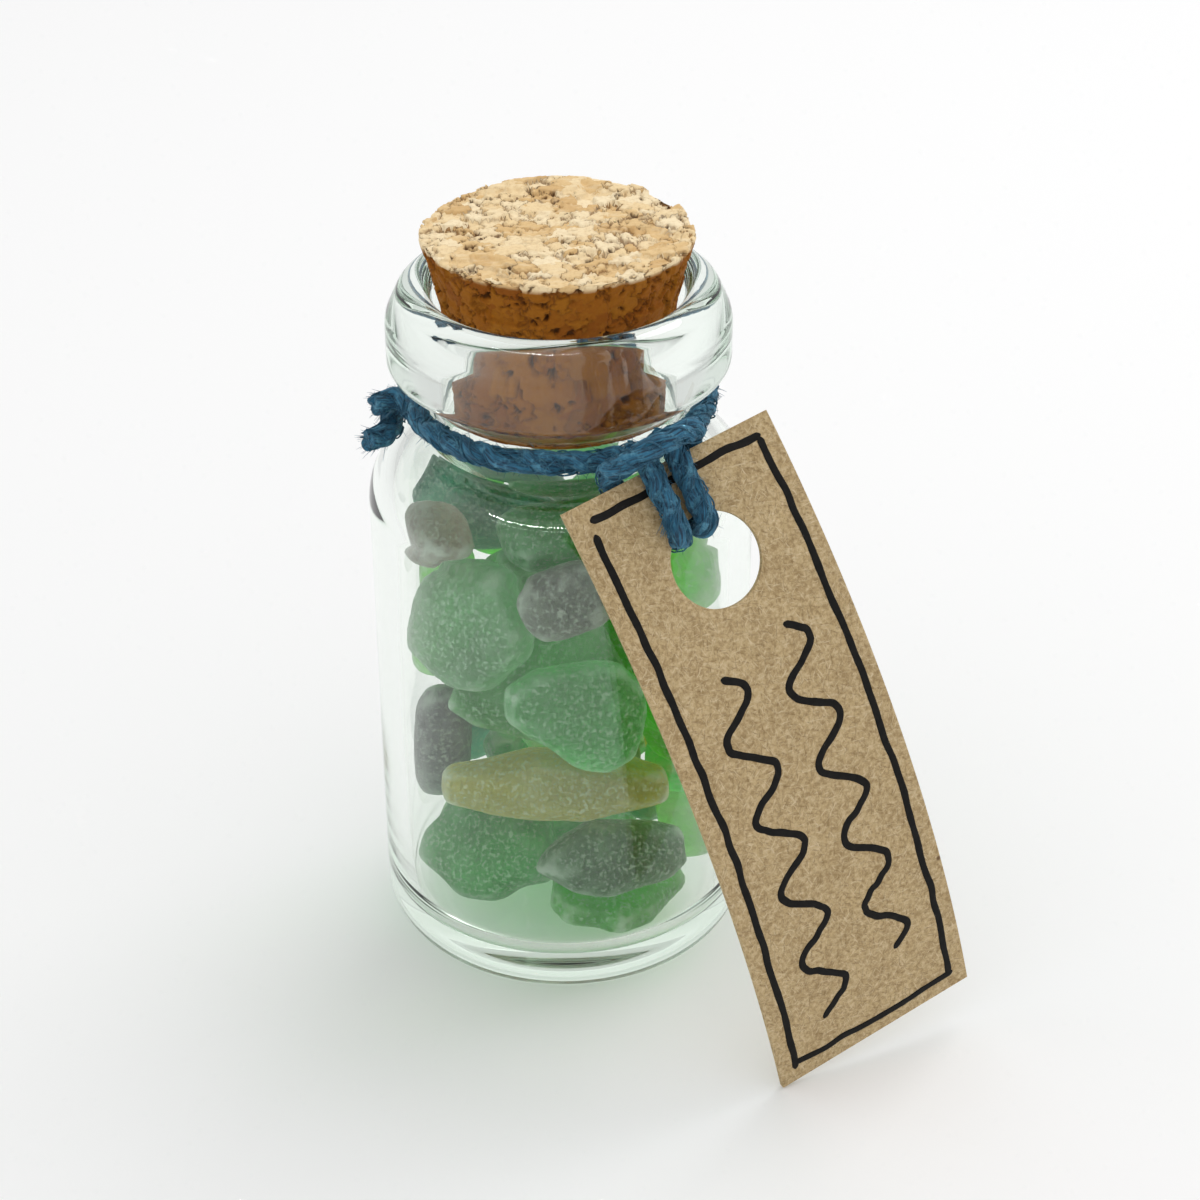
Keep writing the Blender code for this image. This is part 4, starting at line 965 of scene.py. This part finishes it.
# A point on an edge stands outside the mean of its neighbours, and that height marks the edge.
mean = add(wear_tree, "GeometryNodeBlurAttribute", where, 14, data_type="FLOAT_VECTOR")
apart = add(wear_tree, VECTOR, where, mean, operation="SUBTRACT")
stands = add(wear_tree, VECTOR, apart, outside, operation="DOT_PRODUCT")
marked = add(wear_tree, "GeometryNodeStoreNamedAttribute", moved, into={"Name": "edge", "Value": stands})
end_tree(wear_tree, marked, given["Finish"])

# %% [markdown]
# Light that enters frosted glass is tinted on its way, and leaves scattered. The tint belongs to the inside, so
# it is an absorption per millimetre: thin edges look pale and thick middles look deep, as in real sea glass.
# The skin is rough and pale, with specks, crescent-shaped nicks and rubbed edges. Each colour below is what
# white light becomes after 3.5 mm of the glass.

# %% Sea glass colours
TINT_DEPTH = 0.0035
SEA_COLOURS = {
    "teal_grey": ("#62b091", 0.95),
    "brown_grey": ("#b0ae94", 0.90),
    "light_green": ("#8fdf68", 0.97),
    "pale_sea": ("#94d49c", 0.93),
    "pale_green": ("#a4e08e", 0.96),
    "lavender": ("#85937c", 0.93),
    "mid_green": ("#4fcb55", 0.98),
    "sea_green": ("#68dc7c", 0.95),
    "bright_green": ("#40cc1c", 0.99),
    "olive": ("#d8cf48", 0.86),
    "dark_grey": ("#6c8074", 0.93),
    "deep_green": ("#28be46", 0.98),
    "dark_green": ("#44a04a", 0.97),
}


def sea_glass(name, code, clear):
    """Frosted glass. clear is the share of light that goes in where the skin is least worn."""
    made, tree, shader = new_material(
        "frosted_sea_glass_" + name, Roughness=0.5, IOR=1.5, Sheen_Weight=0.20, Sheen_Roughness=0.35
    )
    where = add(tree, "ShaderNodeTexCoord").outputs["Object"]
    # Real frost is finer than 0.1 mm. It is drawn at 0.2 to 0.3 mm, which still shows from an arm's length.
    cloud = add(tree, NOISE, where, 420.0, 4.0)
    speck = add(tree, NOISE, where, 3900.0, 3.0, 0.65)
    knocks = add(tree, "ShaderNodeTexVoronoi", where, 2600.0)
    # Crescents: part of a circle round a cell's middle, on the side that the cell's own colour picks.
    cells = add(tree, "ShaderNodeTexVoronoi", where, 700.0)
    wavy = add(tree, MATH, speck, 0.5, cells, operation="MULTIPLY_ADD")
    circle = add(tree, MATH, wavy, 0.52, 0.03, operation="COMPARE")
    from_middle = add(tree, VECTOR, where, cells.outputs["Position"], operation="SUBTRACT")
    side = add(tree, VECTOR, cells.outputs["Color"], (0.5, 0.5, 0.5), operation="SUBTRACT")
    facing = add(tree, VECTOR, from_middle, side, operation="DOT_PRODUCT").outputs["Value"]
    facing = add(tree, RANGE, facing, 0.00006, 0.00014)
    few = add(tree, RANGE, cloud, 0.46, 0.62, 0.0, 0.7)
    crescent = chain(tree, MATH, circle, ("MULTIPLY", facing), ("MULTIPLY", few))
    edge = add(tree, "ShaderNodeAttribute", attribute_name="edge").outputs["Fac"]
    rubbed = add(tree, RANGE, edge, 0.00004, 0.00014, 0.0, 0.85, interpolation_type="SMOOTHSTEP")
    dust = add(tree, RANGE, speck, 0.50, 0.62, 0.0, 0.75)
    haze = add(tree, RANGE, cloud, 0.50, 0.80, 0.0, 0.5)
    frost = chain(tree, MATH, dust, ("MAXIMUM", haze), ("MAXIMUM", crescent), ("MAXIMUM", rubbed))
    linear = srgb(code)[:3]
    skin = [c**0.6 for c in linear] + [1.0]
    tone = add(tree, MIX, frost, skin, srgb("#d3e8d4"), data_type="RGBA")
    goes_in = add(tree, RANGE, frost, 0.0, 1.0, clear, clear * 0.50)
    tree.links.new(goes_in.outputs[0], shader.inputs["Transmission Weight"])
    height = add(tree, MATH, speck, 0.8, knocks, operation="MULTIPLY_ADD")
    height = add(tree, MATH, crescent, -0.7, height, operation="MULTIPLY_ADD")
    dress(tree, shader, tone, height, 0.6, 0.00009)
    # An absorption of this colour and density leaves the glass's own colour after the tint's depth.
    losses = [-math.log(c) / TINT_DEPTH for c in linear]
    tint = [1 - k / max(losses) for k in losses] + [1.0]
    clear_inside(tree, shader, [0.80 + 0.18 * c for c in linear] + [1.0], tint, max(losses))
    return made


sea_finishes = {name: sea_glass(name, code, clear) for name, (code, clear) in SEA_COLOURS.items()}

# %% Pebbles
COLOUR_OF = (
    "teal_grey brown_grey light_green pale_sea pale_green lavender mid_green sea_green bright_green olive "
    "dark_grey deep_green dark_green bright_green pale_green light_green teal_grey deep_green pale_sea sea_green "
    "mid_green olive sea_green pale_sea bright_green light_green teal_grey mid_green pale_green deep_green "
    "deep_green dark_green sea_green mid_green deep_green mid_green sea_green bright_green teal_grey"
).split()


def weather(piece, seed, colour):
    """Gives a closed rough shape its even skin, its wear and its finish."""
    outward(piece)
    modify(piece, "REMESH", mode="VOXEL", voxel_size=0.00020)
    modify(piece, "SMOOTH", iterations=22, factor=0.5)
    settle(piece)
    run_tree(piece, wear_tree, Seed=float(seed), Finish=sea_finishes[colour])
    smooth(piece)
    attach(piece, "bottle_body")
    return len(piece.data.polygons)


pebbles = sorted(name for name in frame["nodes"] if name.startswith("sea_glass_"))
print("pebbles:", len(pebbles), "colours:", len(COLOUR_OF))
pebble_faces = 0
for number, name in enumerate(pebbles):
    pebble = new_object("worn_" + name, frame["nodes"][name].data.copy())
    pebble.data.materials.clear()
    pebble_faces += weather(pebble, number, COLOUR_OF[number])
    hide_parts(name)
print("pebble faces:", pebble_faces)

# %% [markdown]
# Small chips lie in the widest spaces between the pebbles. Each is the hull of a few points on a ball, which
# gives flat faces and blunt corners as a broken edge has, and then it is worn like the rest.

# %% Chips
HULL_POINTS = 16
# Each chip: its name, its middle, its radius and its colour.
CHIPS = (
    ("worn_chip_01", (-0.0034, 0.0020, 0.0113), 0.0026, "deep_green"),
    ("worn_chip_02", (0.0049, 0.0059, 0.0091), 0.0018, "mid_green"),
)
for seed, (name, centre, radius, colour) in enumerate(CHIPS):
    dice = random.Random(300 + seed)
    hull = bmesh.new()
    for _ in range(HULL_POINTS):
        way = Vector([dice.gauss(0, 1) for _ in range(3)]).normalized()
        hull.verts.new(Vector(centre) + way * radius)
    bmesh.ops.convex_hull(hull, input=hull.verts)
    chip = mesh_piece(name, [], [])
    hull.to_mesh(chip.data)
    hull.free()
    print(name, "faces:", weather(chip, 100 + seed, colour))

# %% [markdown]
# ## Card tag
# The tag is kraft card cut with scissors, with one hole from an office punch. It is drawn flat as a fine
# grid, the hole is cut, and then every point is bent to the card's bow. An attribute keeps each point's flat
# place in metres, so that the paper's fibres stay in the sheet, whichever way it hangs.

# %% Flat card with its hole
ROWS, COLUMNS, HOLE_SIDES = 150, 52, 96


def flat_card():
    """Top and bottom grids joined round the edge, x across and y up from the top edge."""
    points, faces = [], []
    for z in (-CARD_T / 2, CARD_T / 2):
        for i in range(ROWS + 1):
            for k in range(COLUMNS + 1):
                points.append((CARD_W * (k / COLUMNS - 0.5), -CARD_L * i / ROWS, z))
    stride, level = COLUMNS + 1, (ROWS + 1) * (COLUMNS + 1)
    for i in range(ROWS):
        for k in range(COLUMNS):
            a = i * stride + k
            faces.append((a, a + 1, a + stride + 1, a + stride))
            faces.append((a + level, a + level + stride, a + level + stride + 1, a + level + 1))
    rim = list(range(COLUMNS)) + [i * stride + COLUMNS for i in range(ROWS)]
    rim += [ROWS * stride + k for k in range(COLUMNS, 0, -1)] + [i * stride for i in range(ROWS, 0, -1)]
    for a, b in zip(rim, rim[1:] + rim[:1]):
        faces.append((a, a + level, b + level, b))
    return mesh_piece("kraft_card_tag", points, faces)


tag = flat_card()
whole = bmesh.new()
hole = Matrix.Translation((HOLE_SIDE, -HOLE_DOWN - HOLE_D / 2, 0))
round_punch = {"segments": HOLE_SIDES, "radius1": HOLE_D / 2, "radius2": HOLE_D / 2, "depth": CARD_T * 6}
bmesh.ops.create_cone(whole, cap_ends=True, matrix=hole, **round_punch)
punch = mesh_piece("punch", [], [])
whole.to_mesh(punch.data)
whole.free()
modify(tag, "BOOLEAN", object=punch, operation="DIFFERENCE", solver="EXACT")
settle(tag)
bpy.data.objects.remove(punch)


# %% Bend the card
def bend_to_card(piece):
    """Keeps each point's flat place as an attribute, then bends the piece to the card."""
    flat = [Vector(v.co) for v in piece.data.vertices]
    kept = piece.data.attributes.new("flat", "FLOAT_VECTOR", "POINT")
    kept.data.foreach_set("vector", [c for p in flat for c in p])
    for vertex, p in zip(piece.data.vertices, flat):
        vertex.co = card.at(p.x, p.z, p.y)
    piece.data.update()


bend_to_card(tag)
outward(tag)

# %% [markdown]
# Kraft card is unbleached pulp: long fibres lie every way in the sheet, some pale and some dark, with a few
# brown specks of bark. Each layer of fibres is a noise that is stretched along one direction.

# %% Kraft card
kraft, tree, shader = new_material("kraft_card", Roughness=0.88)
flat = add(tree, "ShaderNodeAttribute", attribute_name="flat").outputs["Vector"]
wander = add(tree, NOISE, flat, 900.0, 2.0).outputs["Color"]
loose = add(tree, VECTOR, wander, (0.00045,) * 3, flat, operation="MULTIPLY_ADD")


def fibre_layer(turn_deg, length, width, place):
    """One direction of fibres: noise long one way and thin the other."""
    turn = (0, 0, math.radians(turn_deg))
    laid = add(tree, "ShaderNodeMapping", into={"Vector": loose, "Rotation": turn, "Location": (place, place, 0)})
    laid = add(tree, VECTOR, laid, (1 / length, 1 / width, 1 / width), operation="MULTIPLY")
    return add(tree, NOISE, laid, 1.0, 2.0)


def fibres(*layers):
    """Several layers as one sheet, in which the fibre on top shows."""
    first, *others = (fibre_layer(*layer) for layer in layers)
    return chain(tree, MATH, first, *(("MAXIMUM", other) for other in others))


pale = fibres((12, 0.0011, 0.00011, 0.1), (74, 0.0010, 0.00010, 0.3), (-40, 0.0009, 0.00010, 0.5))
brown = fibres((35, 0.0008, 0.00013, 0.7), (-70, 0.0009, 0.00012, 0.9))
cloud = add(tree, NOISE, flat, 450.0, 3.0)
mottle = add(tree, NOISE, flat, 3600.0, 3.0, 0.7)
cloud_share = add(tree, RANGE, cloud, 0.35, 0.65)
dark_share = add(tree, RANGE, mottle, 0.36, 0.50, 0.70, 0.0)
light_share = add(tree, RANGE, mottle, 0.52, 0.66, 0.0, 0.75)
brown_share = add(tree, RANGE, brown, 0.58, 0.72, 0.0, 0.60)
pale_share = add(tree, RANGE, pale, 0.60, 0.74, 0.0, 0.80)
tone = add(tree, MIX, cloud_share, srgb("#b2996f"), srgb("#c1a87c"), data_type="RGBA")
specks = add(tree, "ShaderNodeTexVoronoi", flat, 420.0)
rare = add(tree, SPLIT, specks.outputs["Color"])
rare = add(tree, RANGE, rare, 0.90, 0.91, 0.0, 0.85)
speck = add(tree, RANGE, specks, 0.04, 0.09, 1.0, 0.0)
speck = add(tree, MATH, speck, rare, operation="MULTIPLY")
layers = ((dark_share, "#957b52"), (light_share, "#d2bd96"), (brown_share, "#7c623c"), (pale_share, "#d9c6a2"))
for share, code in layers + ((speck, "#5a3818"),):
    tone = add(tree, MIX, share, tone, srgb(code), data_type="RGBA")
height = add(tree, MATH, brown, 0.6, pale, operation="MULTIPLY_ADD")
height = add(tree, MATH, mottle, 0.8, height, operation="MULTIPLY_ADD")
dress(tree, shader, tone, height, 0.6, 0.00007)
tag.data.materials.clear()
tag.data.materials.append(kraft)
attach(tag, "tag_body")
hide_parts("tag")

# %% [markdown]
# ## Pen lines
# The card has a border drawn by hand with a black felt pen, a little crooked, with blunt ends at the corners.
# Inside it stand two plain waves. A stroke is a flat ribbon whose width swells where the pen slowed down. It is
# drawn flat and then bent with the card.

# %% Pen ink
ink, tree, shader = new_material("felt_pen_ink", Roughness=0.7, Specular_IOR_Level=0.2)
where = add(tree, "ShaderNodeTexCoord").outputs["Object"]
patchy = add(tree, RANGE, add(tree, NOISE, where, 2500.0, 3.0), 0.35, 0.70)
tone = add(tree, MIX, patchy, srgb("#0b0a09"), srgb("#171513"), data_type="RGBA")
tree.links.new(tone.outputs[2], shader.inputs["Base Color"])

# %% Tree for a pen stroke
pen_sizes = {
    "Line Width": 0.00047,
    "Shake": 0.35,
    "Seed": 0.0,
    "Ink Depth": 0.00002,
    "Step": 0.00009,
    "Finish": ink,
}
pen_tree, given = new_tree("Pen stroke", pen_sizes)
curve = add(pen_tree, "GeometryNodeMeshToCurve", given["Geometry"])
even = add(pen_tree, "GeometryNodeResampleCurve", curve, into={"Length": given["Step"]}, mode="LENGTH")
length = add(pen_tree, "GeometryNodeSplineParameter").outputs["Length"]
total = add(pen_tree, "GeometryNodeSplineLength")
seeded = add(pen_tree, MATH, given["Seed"], 7.7, operation="MULTIPLY")
along = add(pen_tree, MATH, length, 700.0, seeded, operation="MULTIPLY_ADD")
wobble = add(pen_tree, NOISE, along, 1.0, 3.0, noise_dimensions="1D")
swing = chain(pen_tree, MATH, wobble, ("SUBTRACT", 0.5), ("MULTIPLY_ADD", given["Shake"], 1.0))
half = add(pen_tree, MATH, given["Line Width"], 0.5, operation="MULTIPLY")
left = add(pen_tree, MATH, total, length, operation="SUBTRACT")
end_in = add(pen_tree, MATH, length, half, operation="DIVIDE", use_clamp=True)
end_out = add(pen_tree, MATH, left, half, operation="DIVIDE", use_clamp=True)
round_end = chain(pen_tree, MATH, end_in, ("MULTIPLY", end_out), ("POWER", 0.5), ("MAXIMUM", 0.25))
radius = chain(pen_tree, MATH, half, ("MULTIPLY", round_end), ("MULTIPLY", swing))
upright = add(pen_tree, "GeometryNodeSetCurveNormal", even, mode="Z_UP")
section = add(pen_tree, "GeometryNodeCurvePrimitiveCircle", 8, into={"Radius": 1.0})
swept = add(pen_tree, "GeometryNodeCurveToMesh", upright, section, radius, True)
# The round sweep is pressed flat to the thickness of dried ink.
apart = add(pen_tree, SPLIT, add(pen_tree, "GeometryNodeInputPosition"))
level = chain(pen_tree, MATH, apart.outputs[2], ("DIVIDE", half), ("MULTIPLY", given["Ink Depth"]))
pressed = add(pen_tree, "ShaderNodeCombineXYZ", apart.outputs[0], apart.outputs[1], level)
flattened = add(pen_tree, "GeometryNodeSetPosition", swept, into={"Position": pressed})
end_tree(pen_tree, add(pen_tree, "GeometryNodeSetShadeSmooth", flattened), given["Finish"])


# %% Draw the strokes
HAND_STEP, PEN_STEP, LINE_DRIFT, WAVE_DRIFT = 0.0012, 0.00025, 0.00005, 0.00004
WAVE_SWING, WAVE_LENGTH, POINTS_PER_WAVE, INK_LIFT = 0.0013, 0.0052, 16, 0.000012


def hand_line(corners, seed):
    """A line through the corners with the small drift of a hand."""
    dice = random.Random(seed)
    route = smooth_path([(x, y, 0) for x, y in corners], HAND_STEP)
    drift = np.array([[dice.gauss(0, LINE_DRIFT), dice.gauss(0, LINE_DRIFT), 0] for _ in route])
    return smooth_path(route + drift, PEN_STEP)


inset = 0.00118
side_x, low_y = CARD_W / 2 - inset, -CARD_L + inset
strokes = [
    hand_line([(0.0001 - side_x, -inset), (0, -inset + 0.0001), (side_x + 0.0001, -inset + 0.00005)], 1),
    hand_line([(side_x, -inset - 0.0001), (side_x + 0.00005, -0.020), (side_x - 0.0001, low_y)], 3),
    hand_line([(side_x + 0.0002, low_y), (0.0, low_y - 0.0001), (-side_x - 0.0001, low_y + 0.0002)], 4),
    hand_line([(-side_x, low_y - 0.0002), (-side_x + 0.0001, -0.020), (-side_x, -inset - 0.00075)], 5),
]


def wave_line(x, start, end, seed):
    """A row of even waves down the card."""
    count = round(abs(end - start) / WAVE_LENGTH * POINTS_PER_WAVE)
    turns = [2 * math.pi * i / POINTS_PER_WAVE for i in range(count + 1)]
    spots = [(x + WAVE_SWING * math.sin(t), start + (end - start) * i / count, 0) for i, t in enumerate(turns)]
    dice = random.Random(seed)
    drift = [(dice.gauss(0, WAVE_DRIFT), dice.gauss(0, WAVE_DRIFT), 0) for _ in spots]
    return smooth_path(np.array(spots) + np.array(drift), PEN_STEP)


strokes += [wave_line(0.0025, -0.0118, -0.0352, 11), wave_line(-0.0025, -0.0130, -0.0372, 12)]
pieces = []
for number, stroke in enumerate(strokes):
    pieces.append(run_tree(polyline("stroke_%d" % number, [stroke]), pen_tree, Seed=float(number)))
pen = join("pen_lines", pieces)
for vertex in pen.data.vertices:
    vertex.co.z += CARD_T / 2 + INK_LIFT
bend_to_card(pen)
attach(pen, "tag_body")
print("pen faces:", len(pen.data.polygons))

# %% [markdown]
# ## Floor and light
# The object stands on plain white board in soft daylight. The floor is wide enough to fill the view, and
# the world is bright above and dimmer near the horizon, as in a room with white walls and a ceiling lamp.

# %% Floor
FLOOR_Z, FLOOR_HALF = -0.00002, 3
board, _, _ = new_material("white_board", Base_Color=srgb("#fafafa"), Roughness=0.6, Specular_IOR_Level=0.2)
SQUARE = ((-1, -1), (1, -1), (1, 1), (-1, 1))
floor = mesh_piece("floor", [(FLOOR_HALF * x, FLOOR_HALF * y, FLOOR_Z) for x, y in SQUARE], [(0, 1, 2, 3)], board)

# %% World
LOW_LIGHT, HIGH_LIGHT = 0.65, 0.88
world = bpy.data.worlds.new("room")
bpy.context.scene.world = world
world.use_nodes = True
tree = world.node_tree
ray = add(tree, "ShaderNodeTexCoord").outputs["Generated"]
rise = add(tree, SPLIT, ray).outputs[2]
light = add(tree, RANGE, rise, -0.1, 0.9, LOW_LIGHT, HIGH_LIGHT)
tree.links.new(light.outputs[0], tree.nodes["Background"].inputs["Strength"])
tree.nodes["Background"].inputs["Color"].default_value = srgb("#ffffff")


# %% Lamps
def soft_lamp(name, where, at, size, strength):
    """A square soft box. strength is how bright its face looks, where 1 is white."""
    data = bpy.data.lights.new(name, "AREA")
    data.size = size
    data.energy = strength * math.pi * size * size
    lamp = new_object(name, data)
    way = Vector(at) - Vector(where)
    lamp.matrix_world = Matrix.Translation(where) @ way.to_track_quat("-Z", "Y").to_matrix().to_4x4()


soft_lamp("top_box", (0.16, 0.16, 0.42), (0, 0, 0.02), 0.24, 2.8)

# %% [markdown]
# The photo's glass shows a row of small bright dots, the reflection of a strip of lamps. The strip here is a
# bent row of small squares that only a reflection can see, so it puts no light on the object.

# %% Strip of lamps
STRIP_STRENGTH = 100.0
dots, tree, _ = new_material("lamp_strip")
shine = add(tree, "ShaderNodeEmission", (1.0, 1.0, 1.0, 1.0), STRIP_STRENGTH)
seen = add(tree, "ShaderNodeMixShader", add(tree, "ShaderNodeLightPath").outputs["Is Glossy Ray"])
tree.links.new(add(tree, "ShaderNodeBsdfTransparent").outputs[0], seen.inputs[1])
tree.links.new(shine.outputs[0], seen.inputs[2])
tree.links.new(seen.outputs[0], tree.nodes["Material Output"].inputs["Surface"])
dots.cycles.emission_sampling = "NONE"
STRIP_AWAY, STRIP_UP, STRIP_DOTS, DOT_SIZE = 0.35, math.radians(60), 30, 0.0055
STRIP_FROM, STRIP_TURN = -158, 86
corners, squares = [], []
for i in range(STRIP_DOTS):
    turn = math.radians(STRIP_FROM + STRIP_TURN * i / (STRIP_DOTS - 1))
    way = Vector((math.cos(turn) * math.cos(STRIP_UP), math.sin(turn) * math.cos(STRIP_UP), math.sin(STRIP_UP)))
    across = Vector((-math.sin(turn), math.cos(turn), 0))
    rise = way.cross(across)
    for a, b in SQUARE:
        corners.append(way * STRIP_AWAY + (across * a + rise * b) * DOT_SIZE / 2)
    squares.append(tuple(range(4 * i, 4 * i + 4)))
mesh_piece("lamp_strip", corners, squares, dots)

# %% [markdown]
# A ray that runs round inside the thick lip and base is turned back again and again by the glass. With the
# usual few turns it gives up and leaves black crescents, so it may turn more often here.

# %% Bounces
cycles = bpy.context.scene.cycles
cycles.max_bounces = 24
cycles.glossy_bounces = 16
cycles.transmission_bounces = 24
cycles.transparent_max_bounces = 32
